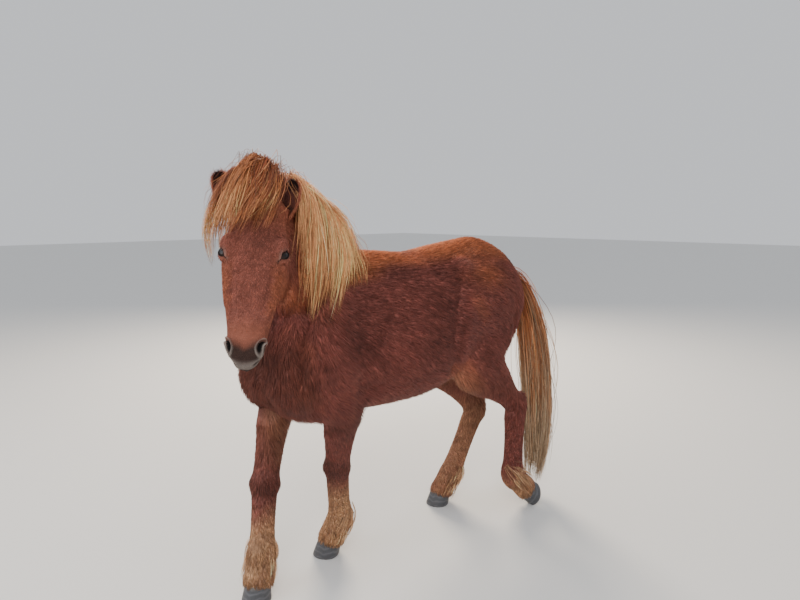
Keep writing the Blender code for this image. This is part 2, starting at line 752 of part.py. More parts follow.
def feather_locks(hoof, fetlock, tree):
    """Long hair round the back of the fetlock and pastern, falling on the hoof."""
    locks = []
    for k in range(6):
        angle = math.radians(180 + (k - 2.5) * 40)
        out = hoof["toe"] * math.cos(angle) + hoof["side"] * math.sin(angle)
        along = (hoof["coronet"] - fetlock).normalized()
        out = (out - along * out.dot(along)).normalized()
        start = fetlock - along * random.uniform(0.055, 0.075) + out * 0.018
        path = [start, start + along * 0.055 + out * 0.036, start + along * 0.105 + out * 0.050,
                start + along * 0.150 + out * 0.048]
        points, facing = laid(path, (None, 0.002, 0.005, 0.007), tree)
        locks.append(lock(points, 0.021, 0.005, [out] * 4))
    return locks


def tail_form():
    """The dock with the tail's locks round it, falling almost to the ground."""
    spine = through([
        (-0.630, 0.125, 1.170, 0.022), (-0.690, 0.142, 1.145, 0.032), (-0.735, 0.162, 1.080, 0.040),
        (-0.770, 0.186, 0.960, 0.044), (-0.798, 0.210, 0.790, 0.046), (-0.812, 0.228, 0.580, 0.042),
        (-0.820, 0.240, 0.390, 0.034), (-0.815, 0.235, 0.230, 0.022), (-0.805, 0.222, 0.120, 0.010)], 2)
    centres = [Vector(row[:3]) for row in spine]
    keys = [(*row[:3], row[3], row[3] * 0.9, row[3] * 0.9) for row in spine]
    rings = []
    side = Vector((0.3, 1, 0)).normalized()
    for k, row in enumerate(keys):
        along = (centres[min(k + 1, len(centres) - 1)] - centres[max(k - 1, 0)]).normalized()
        across = (side - along * side.dot(along)).normalized()
        rings.append(ring(centres[k], across, across.cross(along), row[3], row[4], row[5], 2.0, 2.0, 12))
    tail = as_object(loft(rings), "tail")

    def tail_locks():
        locks = []
        for k in range(15):
            locks.append(tail_lock(k, spine, centres))
        return locks

    return tail, tail_locks


def tail_lock(k, spine, centres):
    """One lock of the tail, laid along the dock and round it."""
    turn = 2.0 * math.pi * (k % 5) / 5 + 0.42 * (k // 5) + random.uniform(-0.1, 0.1)
    first = 2 + (k // 5) * 3
    length = 10 - (k // 5) * 1.5 + random.uniform(-1.0, 0.5)
    points, facing = [], []
    for step in range(6):
        place = min(first + length * step / 5, len(centres) - 1.01)
        low = int(place)
        centre = centres[low].lerp(centres[low + 1], place - low)
        radius = float(spine[low][3])
        out = Vector((math.cos(turn) * 0.9, math.sin(turn), 0))
        share = (0.5, 1.0, 1.12, 1.2, 1.25, 1.5)[step]
        reach = radius * share + (0.0, 0.0, 0.006, 0.01, 0.012, 0.0)[step]
        points.append(centre + out * reach + UP * (-0.05 if step == 5 and k < 5 else 0.0))
        facing.append(out)
    return lock(points, random.uniform(0.028, 0.036), 0.010, facing)


# Features of the head

def ear_form(sign, name):
    """A cupped ear that opens to the front and a little outwards."""
    base = HEAD.at(-0.165, sign * 0.075, -0.112)
    tip = HEAD.at(-0.292, sign * 0.138, -0.085)
    axis = (tip - base).normalized()
    opening = (HEAD.out + HEAD.left * sign * 0.35)
    opening = (opening - axis * opening.dot(axis)).normalized()
    across = axis.cross(opening).normalized()
    length = (tip - base).length
    wall = 0.0065
    rows = ((0.0, 0.026, 0.2), (0.18, 0.032, 0.7), (0.36, 0.036, 1.0), (0.55, 0.034, 1.0),
            (0.72, 0.026, 0.95), (0.87, 0.015, 0.8), (0.97, 0.0075, 0.2))
    rings = []
    for along, half, cup in rows:
        centre = base + axis * length * along
        outer, inner = [], []
        for k in range(9):
            angle = math.radians(-105 + 210 * k / 8)
            direction = across * math.sin(angle) - opening * math.cos(angle) * 0.85
            outer.append(centre + direction * half)
            depth = max(half - wall, 0.001)
            flat = across * math.sin(angle) * depth + opening * (0.25 * half)
            inner.append((centre + direction * depth).lerp(centre + flat, 1.0 - cup))
        rings.append(outer + inner[::-1])
    return as_object(loft(rings, fan=False), name)


def eye_place(sign):
    return HEAD.at(0.0, sign * EYE_SPREAD, -0.046)


def head_features(head):
    """Lids, eye sockets, nostrils and the mouth line."""
    turn = HEAD.turn()
    lids = []
    cuts = []
    for sign in (1, -1):
        eye = eye_place(sign)
        slant = Matrix.Rotation(math.radians(-12 * sign), 3, HEAD.out) @ turn
        lids.append(as_object(ball(eye, (EYE_RADIUS + 0.0055, EYE_RADIUS + 0.0045, EYE_RADIUS + 0.0075), slant, 12), "lid"))
        look = (HEAD.left * sign * 0.85 + HEAD.out * 0.5).normalized()
        cuts.append(as_object(ball(eye + look * 0.020, (0.0125, 0.015, 0.021), slant, 10), "opening"))
        cuts.append(as_object(ball(eye, (EYE_RADIUS + CUT_GAP * 2,) * 3, turn, 14), "socket"))
        nostril = HEAD.at(0.296, sign * 0.052, -0.026)
        lean = Matrix.Rotation(math.radians(-18 * sign), 3, HEAD.out) @ turn
        cuts.append(as_object(ball(nostril, (0.024, 0.0095, 0.022), lean, 10), "nostril"))
        cuts.append(as_object(ball(nostril + HEAD.down * -0.018 + HEAD.left * sign * 0.004,
                                   (0.013, 0.008, 0.018), lean, 8), "nostril"))
    line = []
    for k in range(9):
        angle = math.radians(-80 + 160 * k / 8)
        line.append((*HEAD.at(0.352 - 0.050 * (1 - math.cos(angle)), math.sin(angle) * 0.066,
                              -0.088 + 0.052 * math.cos(angle) - 0.018), 0.006, 0.0035, 0.0035))
    cuts.append(as_object(sweep(line, HEAD.out, per_span=2, count=8), "mouth"))
    combined(head, lids, "UNION")
    for cut in cuts:
        combined(head, [cut], "DIFFERENCE")
    return head


NECK_PLANES = (((0.27, 0.0, 1.30), (-0.64, 0.0, -0.768)),)
HEAD_PLANES = (
    ((0.578, 0.0, 1.40), (-0.80, -0.60, 0.0)),
    ((0.60, -0.02, 1.19), (-0.449, -0.555, -0.70)),
    ((0.28, 0.0, 1.31), (-0.64, 0.0, -0.768)),
)
FORELOCK_PLANES = (HEAD_PLANES[0], ((0, 0, 1.40), (0, 0, -1)), (HEAD.at(0, 0.075, 0), tuple(HEAD.left)))
LEG_PLANES = dict(
    left_fore=(((0.36, 0.05, 0.668), (0, -0.571, 0.822)), ((0.50, 0, 0), (0.894, -0.447, 0)),
               ((0.262, 0, 0.70), (-0.99, 0, 0.14))),
    right_fore=(((0.42, -0.05, 0.668), (0, 0.571, 0.822)), ((0.46, 0, 0), (-0.64, 0.768, 0)),
                ((0.50, 0, 0), (-0.97, 0, -0.2425))),
    left_hind=(((-0.45, 0.10, 0.80), (0, -0.545, 0.838)), ((0, 0.095, 0), (0, -1, 0)),
               ((-0.215, 0, 0.80), (0.9, 0, -0.43))),
    right_hind=(((-0.45, 0.06, 0.80), (0, 0.545, 0.838)), ((0, 0.085, 0), (0, 1, 0)),
                ((-0.262, 0, 0), (1, 0, 0))),
)


def surface_tree(obj):
    mesh = obj.data
    return BVHTree.FromPolygons([v.co for v in mesh.vertices], [list(f.vertices) for f in mesh.polygons])


def leg_node(body, name, key, fetlock, tree, hoof_solid):
    """One leg down to the coronet, with the long hair of its fetlock."""
    hoof = HOOVES[key]
    planes = (*LEG_PLANES[key], (hoof["coronet"], tuple(-hoof["top"])))
    leg = piece(body, name, planes, LEG_TRIANGLES)
    node = haired(leg, lambda: feather_locks(hoof, fetlock, tree), [hoof_solid])
    removed(leg)
    return node


def hoof_node(name, key):
    """One hoof, cut flat where it meets the ground."""
    hoof = hoof_form(HOOVES[key], name)
    if HOOVES[key]["centre"].z > 0.001:
        combined(hoof, [as_object(inside_planes([(Vector(), (0, 0, 1))]), "ground")], "DIFFERENCE")
    return largest_shell(hoof)


def main():
    clear_scene()
    random.seed(7)
    coat = make_material("coat", (0.22, 0.07, 0.03), 0.8)
    hair = make_material("mane_hair", (0.55, 0.33, 0.17), 0.7)
    horn = make_material("hoof_horn", (0.07, 0.065, 0.06), 0.5)
    dark = make_material("eye_gloss", (0.01, 0.007, 0.005), 0.1)
    body = fused_body()
    tree = surface_tree(body)

    head = piece(body, "head", HEAD_PLANES, HEAD_TRIANGLES)
    neck_flesh = piece(body, "neck", NECK_PLANES, NECK_TRIANGLES, less=[HEAD_PLANES])
    torso = thinned(copied(body, "torso"), TORSO_TRIANGLES)
    for planes in (NECK_PLANES, *LEG_PLANES.values()):
        combined(torso, [as_object(inside_planes(planes, CUT_GAP), "cutter")], "DIFFERENCE")
    largest_shell(torso)

    hooves = {key: hoof_node("hoof_" + key, key) for key in HOOVES}
    legs = dict(
        left_fore=leg_node(body, "foreleg_left", "left_fore", LEFT_FORE["fetlock"], tree, hooves["left_fore"]),
        right_fore=leg_node(body, "foreleg_right", "right_fore", RIGHT_FORE["fetlock"], tree, hooves["right_fore"]),
        left_hind=leg_node(body, "hindleg_left", "left_hind", LEFT_HIND["fetlock"], tree, hooves["left_hind"]),
        right_hind=leg_node(body, "hindleg_right", "right_hind", RIGHT_HIND["fetlock"], tree, hooves["right_hind"]),
    )

    head_shape = copied(head, "head_shape")
    head_features(head)
    ears = [ear_form(1, "ear_left"), ear_form(-1, "ear_right")]
    eyes = [as_object(ball(eye_place(sign), (EYE_RADIUS,) * 3, HEAD.turn(), 14), name)
            for sign, name in ((1, "eye_left"), (-1, "eye_right"))]
    bare_head = head
    head = haired(bare_head, lambda: forelock_locks(tree), [], ears)
    neck = haired(neck_flesh, lambda: neck_locks(tree), [head_shape, torso], ears, FORELOCK_PLANES)
    dock, tail_locks = tail_form()
    tail = haired(dock, tail_locks, [torso, legs["left_hind"], legs["right_hind"]])
    for spare in (body, bare_head, head_shape, neck_flesh, dock):
        removed(spare)

    dressed = [(node, coat) for node in (torso, head, neck, *legs.values(), *ears)]
    dressed += [(node, horn) for node in hooves.values()]
    dressed += [(node, dark) for node in eyes] + [(tail, hair)]
    for node, material in dressed:
        node.data.materials.clear()
        node.data.materials.append(material)
        node.data.transform(Matrix.Translation(ORIGIN_SHIFT))
        print(node.name, len(node.data.polygons))


main()
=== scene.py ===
"""A life-size Icelandic horse in its winter coat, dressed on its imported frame.

The skin repeats the frame's forms, fused and drawn in by the depth of the coat. Tufts of
short hair, the mane, the forelock, the tail and the feathers then grow out to the frame's
outline. Everything is in metres, with +X forward, +Y to the horse's left and +Z up.
"""
import math
import random

import bmesh
import bpy
import numpy as np
from bpy.props import FloatProperty, FloatVectorProperty, IntProperty, PointerProperty
from bpy.types import Operator, Panel, PropertyGroup
from mathutils import Matrix, Vector
from mathutils.bvhtree import BVHTree


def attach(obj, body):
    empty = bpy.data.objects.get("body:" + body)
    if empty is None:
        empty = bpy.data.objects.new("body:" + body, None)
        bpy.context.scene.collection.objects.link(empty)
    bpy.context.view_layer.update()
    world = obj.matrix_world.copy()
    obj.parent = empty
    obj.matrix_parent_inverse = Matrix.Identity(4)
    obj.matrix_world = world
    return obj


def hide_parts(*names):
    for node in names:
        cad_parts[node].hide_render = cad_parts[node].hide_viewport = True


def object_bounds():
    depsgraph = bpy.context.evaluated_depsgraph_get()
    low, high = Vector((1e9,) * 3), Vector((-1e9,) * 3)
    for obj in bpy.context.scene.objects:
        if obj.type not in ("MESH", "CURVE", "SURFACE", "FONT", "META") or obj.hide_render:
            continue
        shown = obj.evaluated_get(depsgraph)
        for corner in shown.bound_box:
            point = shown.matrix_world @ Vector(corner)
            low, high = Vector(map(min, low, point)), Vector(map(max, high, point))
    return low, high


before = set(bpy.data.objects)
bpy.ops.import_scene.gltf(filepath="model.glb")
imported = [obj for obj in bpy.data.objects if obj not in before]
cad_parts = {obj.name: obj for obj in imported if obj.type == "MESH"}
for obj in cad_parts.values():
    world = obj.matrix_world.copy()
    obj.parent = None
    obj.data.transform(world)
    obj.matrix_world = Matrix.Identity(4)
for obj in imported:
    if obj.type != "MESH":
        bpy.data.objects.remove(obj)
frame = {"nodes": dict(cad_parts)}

bl_info = {
    "name": "Icelandic Horse",
    "version": (1, 0, 0),
    "blender": (4, 5, 0),
    "location": "3D View > Sidebar > Horse",
    "description": "A still Icelandic horse with its winter coat, mane and tail",
    "category": "Mesh",
}

CAD_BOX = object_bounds()

# Driving sizes of the flesh, in metres and degrees
WITHERS_HEIGHT = 1.302
CROUP_HEIGHT = 1.337
BACK_HEIGHT = 1.283
GIRTH_HEIGHT = 0.665
BELLY_HALF_WIDTH = 0.272
HEAD_YAW = 51.0
HEAD_SLOPE = 25.0
HEAD_ROLL = -3.5
EYES_MIDDLE = Vector((0.747, 0.154, 1.326))
EYE_SPREAD = 0.088
EYE_RADIUS = 0.021
BODY_BEND = -12.0
BEND_FRONT = 0.28
BEND_BACK = -0.30
THINNEST = 0.004
HOOF_HEIGHT = 0.082
CORONET_SLANT = 17.0
TOE_REACH = 0.0595
TOE_SINK = 0.0025

# Fineness of the skin
VOXEL = 0.0085
SMOOTH_ROUNDS = 6
TRUNK_SMOOTH_ROUNDS = 32
RING_POINTS = 20
SKIN_TRIANGLES = 185000

# Fineness of the hair: the width of a tuft's patch on the map, points along each guide, tufts a piece
PATCH = 0.003
GUIDE_POINTS = 10
TAIL_POINTS = 12
FEATHER_POINTS = 6
TUFTS_A_PIECE = 48000

# Moves the finished pieces to where the frame stands
ORIGIN_SHIFT = Vector((0.0022, -0.0430, 0.0))

UP = Vector((0.0, 0.0, 1.0))
FLESH_NODES = ("torso", "head", "neck", "foreleg_left", "foreleg_right", "hindleg_left", "hindleg_right")


def smooth_rise(value, low, high):
    """0 at low, 1 at high, with a soft start and end."""
    share = min(1.0, max(0.0, (value - low) / (high - low)))
    return share * share * (3.0 - 2.0 * share)


def bent(point):
    """A point of the straight body, moved as the trunk bends to the left behind the shoulders."""
    steps = 24
    reach = BEND_FRONT - point.x
    if reach <= 0.0:
        return point.copy()
    step = reach / steps
    x, y, yaw = BEND_FRONT, 0.0, 0.0
    for k in range(steps):
        middle = BEND_FRONT - (k + 0.5) * step
        yaw = math.radians(BODY_BEND) * (1.0 - smooth_rise(middle, BEND_BACK, BEND_FRONT))
        x -= math.cos(yaw) * step
        y -= math.sin(yaw) * step
    return Vector((x - math.sin(yaw) * point.y, y + math.cos(yaw) * point.y, point.z))


def through(keys, per_span):
    """Rows of numbers on a smooth curve through the key rows (Catmull-Rom)."""
    keys = [np.array(k, float) for k in keys]
    padded = [2 * keys[0] - keys[1]] + keys + [2 * keys[-1] - keys[-2]]
    rows = []
    for i in range(1, len(padded) - 2):
        a, b, c, d = padded[i - 1:i + 3]
        for k in range(per_span):
            t = k / per_span
            rows.append(0.5 * (2 * b + (c - a) * t + (2 * a - 5 * b + 4 * c - d) * t ** 2
                               + (3 * b - a - 3 * c + d) * t ** 3))
    rows.append(keys[-1])
    return rows


def ring(centre, side, rise_axis, half_width, rise, drop, power_up, power_down, count=RING_POINTS):
    """A closed section: a superellipse with its own height and fullness above and below."""
    points = []
    for k in range(count):
        angle = 2.0 * math.pi * k / count
        c, s = math.cos(angle), math.sin(angle)
        power = power_up if s > 0 else power_down
        across = half_width * math.copysign(abs(c) ** (2.0 / power), c)
        along = (rise if s > 0 else drop) * math.copysign(abs(s) ** (2.0 / power), s)
        points.append(centre + side * across + rise_axis * along)
    return points


def loft(rings, fan=True):
    """A closed mesh through the rings, with a fan or a flat cap at each end."""
    mesh = bmesh.new()
    rows = [[mesh.verts.new(p) for p in points] for points in rings]
    count = len(rows[0])
    for first, second in zip(rows, rows[1:]):
        for k in range(count):
            mesh.faces.new((first[k], first[(k + 1) % count], second[(k + 1) % count], second[k]))
    if not fan:
        caps = [mesh.faces.new(rows[0]), mesh.faces.new(rows[-1])]
        bmesh.ops.triangulate(mesh, faces=caps, ngon_method="EAR_CLIP")
    for row in (rows[0], rows[-1]) if fan else ():
        middle = mesh.verts.new(sum((v.co for v in row), Vector()) / count)
        for k in range(count):
            mesh.faces.new((row[k], row[(k + 1) % count], middle))
    bmesh.ops.recalc_face_normals(mesh, faces=mesh.faces)
    return mesh


def sweep(keys, side, per_span=5):
    """A loft along a path. A key is x, y, z, half width, and the reach to the front or the top
    and to the back or below."""
    rows = through(keys, per_span)
    centres = [Vector(r[:3]) for r in rows]
    rings = []
    for k, row in enumerate(rows):
        ahead = centres[min(k + 1, len(centres) - 1)]
        behind = centres[max(k - 1, 0)]
        along = (ahead - behind).normalized()
        across = (side - along * side.dot(along)).normalized()
        rise_axis = across.cross(along).normalized()
        sizes = (max(size, THINNEST) for size in row[3:6])
        rings.append(ring(centres[k], across, rise_axis, *sizes, 2.0, 2.0))
    return loft(rings)


def ball(centre, radii, turn=None):
    """An ellipsoid, turned by a 3 by 3 matrix."""
    mesh = bmesh.new()
    bmesh.ops.create_uvsphere(mesh, u_segments=24, v_segments=16, radius=1.0)
    scale = Matrix.Diagonal((*radii, 1.0))
    turned = (turn or Matrix.Identity(3)).to_4x4()
    bmesh.ops.transform(mesh, matrix=Matrix.Translation(centre) @ turned @ scale, verts=mesh.verts)
    return mesh


def trunk():
    """The barrel from the breast to the buttocks. A key is s, top, bottom, half width, height of
    the widest place, and the fullness above and below it."""
    keys = [
        (0.635, 0.98, 0.82, 0.09, 0.90, 2.0, 2.0),
        (0.60, 1.06, 0.745, 0.158, 0.89, 2.1, 2.1),
        (0.53, 1.16, 0.69, 0.205, 0.90, 2.0, 2.3),
        (0.42, 1.25, GIRTH_HEIGHT, 0.222, 0.92, 1.85, 2.3),
        (0.29, 1.295, GIRTH_HEIGHT - 0.005, 0.235, 0.93, 1.7, 2.2),
        (0.20, WITHERS_HEIGHT, GIRTH_HEIGHT - 0.005, 0.248, 0.93, 1.7, 2.2),
        (0.08, 1.293, GIRTH_HEIGHT - 0.008, BELLY_HALF_WIDTH - 0.006, 0.92, 1.85, 2.2),
        (-0.06, BACK_HEIGHT, GIRTH_HEIGHT - 0.005, BELLY_HALF_WIDTH, 0.93, 2.0, 2.2),
        (-0.20, BACK_HEIGHT + 0.022, 0.69, BELLY_HALF_WIDTH - 0.005, 0.96, 2.05, 2.2),
        (-0.32, CROUP_HEIGHT - 0.014, 0.755, 0.245, 1.03, 2.1, 2.1),
        (-0.43, CROUP_HEIGHT, 0.82, 0.232, 1.04, 2.0, 2.0),
        (-0.55, CROUP_HEIGHT - 0.045, 0.88, 0.205, 1.04, 2.0, 2.0),
        (-0.63, 1.215, 0.93, 0.16, 1.03, 2.0, 2.0),
        (-0.68, 1.14, 0.97, 0.09, 1.03, 2.0, 2.0),
    ]
    rings = []
    for s, top, bottom, width, middle, up_power, down_power in through(keys, 4):
        points = ring(Vector((s, 0, middle)), Vector((0, 1, 0)), UP, width, top - middle,
                      middle - bottom, up_power, down_power, 40)
        rings.append([bent(p) for p in points])
    return loft(rings)


def shoulder(sign):
    """The shoulder blade with its muscle, from the withers down to the point of the shoulder."""
    keys = [
        (0.22, sign * 0.050, 1.235, 0.02, 0.05, 0.05),
        (0.28, sign * 0.085, 1.16, 0.045, 0.12, 0.12),
        (0.36, sign * 0.130, 1.05, 0.066, 0.15, 0.15),
        (0.44, sign * 0.150, 0.95, 0.074, 0.15, 0.15),
        (0.51, sign * 0.150, 0.87, 0.068, 0.12, 0.12),
        (0.56, sign * 0.140, 0.80, 0.045, 0.07, 0.07),
        (0.58, sign * 0.130, 0.76, 0.015, 0.02, 0.02),
    ]
    return sweep(keys, Vector((0, 1, 0)))


def pelvis(sign):
    """The point of the hip and the rounded croup muscle behind it."""
    hip_point = ball(bent(Vector((-0.25, sign * 0.145, 1.165))), (0.12, 0.058, 0.085))
    croup = ball(bent(Vector((-0.44, sign * 0.100, 1.09))), (0.20, 0.132, 0.15))
    return [hip_point, croup]


def between(a, b, share):
    """The place at that share of the way from a to b."""
    return a.lerp(b, share)


def foreleg(sign, shoulder_joint, elbow, knee, fetlock, coronet, side):
    """Upper arm, forearm, knee, cannon, fetlock and pastern of one foreleg, down to the coronet."""
    upper = sweep([
        (*between(shoulder_joint, elbow, -0.15), 0.05, 0.06, 0.06),
        (*between(shoulder_joint, elbow, 0.2), 0.075, 0.10, 0.12),
        (*between(shoulder_joint, elbow, 0.6), 0.078, 0.105, 0.13),
        (*between(elbow, knee, 0.05), 0.075, 0.088, 0.098),
        (*between(elbow, knee, 0.30), 0.068, 0.076, 0.078),
        (*between(elbow, knee, 0.60), 0.056, 0.060, 0.060),
        (*between(elbow, knee, 0.85), 0.052, 0.052, 0.052),
        (*knee, 0.059, 0.056, 0.055),
        (*between(knee, fetlock, 0.16), 0.052, 0.047, 0.052),
        (*between(knee, fetlock, 0.40), 0.048, 0.043, 0.052),
        (*between(knee, fetlock, 0.75), 0.048, 0.043, 0.053),
        (*fetlock, 0.058, 0.054, 0.064),
        (*between(fetlock, coronet, 0.45), 0.057, 0.053, 0.060),
        (*between(fetlock, coronet, 0.95), 0.060, 0.058, 0.060),
        (*between(fetlock, coronet, 1.7), 0.058, 0.056, 0.056),
    ], side, per_span=4)
    arm_middle = between(shoulder_joint, elbow, 0.62) + Vector((-0.035, -0.012 * sign, 0.045))
    arm = ball(arm_middle, (0.11, 0.05, 0.12))
    return [upper, arm]


def hindleg(hip, stifle, hock, fetlock, coronet, side):
    """Thigh, gaskin, hock, cannon, fetlock and pastern of one hind leg, down to the coronet."""
    thigh = sweep([
        (*(hip + Vector((0.00, 0, 0.16))), 0.06, 0.12, 0.12),
        (*(hip + Vector((-0.01, 0, 0.05))), 0.088, 0.17, 0.19),
        (*between(hip, stifle, 0.45), 0.092, 0.155, 0.225),
        (*between(hip, stifle, 0.88), 0.088, 0.120, 0.205),
        (*between(stifle, hock, 0.22), 0.080, 0.104, 0.150),
        (*between(stifle, hock, 0.50), 0.066, 0.084, 0.098),
        (*between(stifle, hock, 0.80), 0.049, 0.058, 0.060),
        (*hock, 0.050, 0.058, 0.062),
        (*between(hock, fetlock, 0.14), 0.050, 0.050, 0.058),
        (*between(hock, fetlock, 0.40), 0.045, 0.045, 0.053),
        (*between(hock, fetlock, 0.78), 0.047, 0.045, 0.055),
        (*fetlock, 0.057, 0.053, 0.064),
        (*between(fetlock, coronet, 0.45), 0.056, 0.052, 0.060),
        (*between(fetlock, coronet, 0.95), 0.059, 0.057, 0.059),
        (*between(fetlock, coronet, 1.7), 0.057, 0.055, 0.055),
    ], side, per_span=4)
    point_of_hock = ball(hock + Vector((-0.036, 0, 0.012)), (0.030, 0.032, 0.060))
    return [thigh, point_of_hock]


class HeadFrame:
    """Directions fixed to the head: down is along the face to the nose, out is away from it."""

    def __init__(self):
        yaw, slope = math.radians(HEAD_YAW), math.radians(HEAD_SLOPE)
        heading = Vector((math.cos(yaw), math.sin(yaw), 0))
        self.down = heading * math.sin(slope) - UP * math.cos(slope)
        self.out = heading * math.cos(slope) + UP * math.sin(slope)
        self.left = UP.cross(heading)
        roll = Matrix.Rotation(math.radians(HEAD_ROLL), 3, heading)
        self.down, self.out, self.left = (roll @ v for v in (self.down, self.out, self.left))

    def at(self, down, left, out):
        """The place at these distances from the middle of the eyes."""
        return EYES_MIDDLE + self.down * down + self.left * left + self.out * out

    def turn(self):
        """The turn from the head's directions to the frame's."""
        return Matrix((self.down, self.left, self.out)).transposed()


HEAD = HeadFrame()


def skull():
    """The head from the poll to the lips. A key is the distance down the face, half width, and
    the reach to the face and to the jaw from a middle line."""
    keys = [
        (-0.250, -0.120, 0.040, 0.040, 0.05),
        (-0.215, -0.115, 0.072, 0.072, 0.085),
        (-0.145, -0.108, 0.088, 0.092, 0.10),
        (-0.06, -0.100, 0.103, 0.094, 0.118),
        (0.005, -0.096, 0.108, 0.092, 0.128),
        (0.06, -0.090, 0.102, 0.088, 0.116),
        (0.12, -0.082, 0.090, 0.080, 0.094),
        (0.18, -0.075, 0.078, 0.072, 0.072),
        (0.24, -0.071, 0.070, 0.066, 0.057),
        (0.29, -0.069, 0.066, 0.060, 0.050),
        (0.325, -0.067, 0.065, 0.050, 0.046),
        (0.352, -0.067, 0.053, 0.036, 0.040),
        (0.370, -0.067, 0.030, 0.018, 0.024),
    ]
    return loft([ring(HEAD.at(down, 0, middle), HEAD.left, HEAD.out, width, face, jaw, 2.35, 2.1, 28)
                 for down, middle, width, face, jaw in through(keys, 4)])


def head_forms():
    """The masses that shape the head: cheeks, brows, crests, chin and nostril walls."""
    turn = HEAD.turn()
    middle = (((0.332, 0, -0.112), (0.040, 0.036, 0.024)), ((0.19, 0, -0.115), (0.12, 0.032, 0.022)))
    paired = (
        ((0.02, 0.066, -0.145), (0.105, 0.042, 0.088)), ((-0.020, 0.078, -0.034), (0.050, 0.034, 0.028)),
        ((0.085, 0.074, -0.076), (0.075, 0.024, 0.018)), ((0.298, 0.042, -0.040), (0.038, 0.026, 0.034)),
        ((-0.165, 0.062, -0.095), (0.045, 0.036, 0.040)))
    forms = [skull()] + [ball(HEAD.at(*place), radii, turn) for place, radii in middle]
    for sign in (1, -1):
        for (down, left, out), radii in paired:
            forms.append(ball(HEAD.at(down, sign * left, out), radii, turn))
    return forms


def neck():
    """The sections of the neck and its crest, turning from the chest's heading to the head's."""
    keys = [
        (0.26, 0.0, 1.00, 0.19, 0.25, 0.24),
        (0.36, 0.0, 1.09, 0.178, 0.25, 0.235),
        (0.45, 0.0, 1.19, 0.146, 0.22, 0.19),
        (0.53, -0.008, 1.29, 0.122, 0.20, 0.145),
        (0.580, -0.006, 1.385, 0.106, 0.178, 0.12),
        (0.606, 0.004, 1.445, 0.092, 0.150, 0.10),
    ]
    rows = through(keys, 4)
    first, last = Vector((0, 1, 0)), Vector((-0.65, 0.76, 0))
    sides = [first.lerp(last, k / (len(rows) - 1)) for k in range(len(rows))]
    centres = [Vector(r[:3]) for r in rows]
    rings = []
    for k, row in enumerate(rows):
        along = (centres[min(k + 1, len(rows) - 1)] - centres[max(k - 1, 0)]).normalized()
        across = (sides[k] - along * sides[k].dot(along)).normalized()
        rise_axis = along.cross(across).normalized()
        if rise_axis.z < 0:
            rise_axis = -rise_axis
        rings.append(ring(centres[k], across, rise_axis, row[3], row[4], row[5], 1.75, 2.0, 28))
    return rings


def hoof_place(centre, yaw, tip=0.0):
    """The frame of one hoof: its ground centre, its toe, side and up directions, and its coronet."""
    toe = Vector((math.cos(math.radians(yaw)), math.sin(math.radians(yaw)), 0))
    side = UP.cross(toe)
    turn = Matrix.Rotation(math.radians(tip), 3, side)
    toe, up = turn @ toe, turn @ UP
    slant = math.radians(CORONET_SLANT)
    top = (up * math.cos(slant) - toe * math.sin(slant)).normalized()
    return dict(centre=centre, toe=toe, side=side, up=up, top=top,
                coronet=centre + up * HOOF_HEIGHT * 0.74 - toe * 0.018)


def toe_rest(contact, yaw, tip):
    """A flexed hoof that stands on its toe at the contact point."""
    frame = hoof_place(contact, yaw, tip)
    return hoof_place(contact - frame["toe"] * TOE_REACH - UP * TOE_SINK, yaw, tip)


HOOVES = dict(
    left_fore=hoof_place(Vector((0.300, -0.085, 0.0)), -22.0),
    right_fore=hoof_place(Vector((0.675, -0.030, 0.0)), 35.0),
    left_hind=toe_rest(Vector((-0.690, 0.292, 0.0)), -27.0, 72.0),
    right_hind=hoof_place(Vector((-0.368, -0.045, 0.0)), -24.0),
)

# Joints of the legs, walking and turning to the left
LEFT_FORE = dict(
    shoulder_joint=Vector((0.53, 0.135, 0.90)), elbow=Vector((0.375, 0.128, 0.745)),
    knee=Vector((0.290, -0.018, 0.412)), fetlock=Vector((0.250, -0.050, 0.162)),
    coronet=HOOVES["left_fore"]["coronet"])
RIGHT_FORE = dict(
    shoulder_joint=Vector((0.575, -0.155, 0.90)), elbow=Vector((0.455, -0.190, 0.745)),
    knee=Vector((0.585, -0.092, 0.418)), fetlock=Vector((0.630, -0.055, 0.168)),
    coronet=HOOVES["right_fore"]["coronet"])
LEFT_HIND = dict(
    hip=Vector((-0.465, 0.195, 1.00)), stifle=Vector((-0.350, 0.205, 0.80)),
    hock=Vector((-0.612, 0.235, 0.520)), fetlock=Vector((-0.585, 0.250, 0.180)),
    coronet=HOOVES["left_hind"]["coronet"])
RIGHT_HIND = dict(
    hip=Vector((-0.49, -0.045, 1.00)), stifle=Vector((-0.400, -0.085, 0.78)),
    hock=Vector((-0.580, 0.015, 0.455)), fetlock=Vector((-0.430, -0.015, 0.145)),
    coronet=HOOVES["right_hind"]["coronet"])


# Making and finishing pieces

def only(obj):
    """Selects this object alone and makes it active."""
    bpy.ops.object.select_all(action="DESELECT")
    obj.select_set(True)
    bpy.context.view_layer.objects.active = obj


def modified(obj, kind, **settings):
    """The object with one modifier added and applied."""
    only(obj)
    modifier = obj.modifiers.new(kind.title(), kind)
    for name, value in settings.items():
        setattr(modifier, name, value)
    bpy.ops.object.modifier_apply(modifier=modifier.name)
    return obj


def linked(data, name):
    """A new object in the scene that holds the data."""
    obj = bpy.data.objects.new(name, data)
    bpy.context.scene.collection.objects.link(obj)
    return obj


def join_meshes(meshes, name):
    """One object that holds every mesh as a loose shell."""
    data = bpy.data.meshes.new(name)
    whole = bmesh.new()
    for mesh in meshes:
        mesh.to_mesh(data)
        whole.from_mesh(data)
        mesh.free()
    whole.to_mesh(data)
    whole.free()
    return linked(data, name)


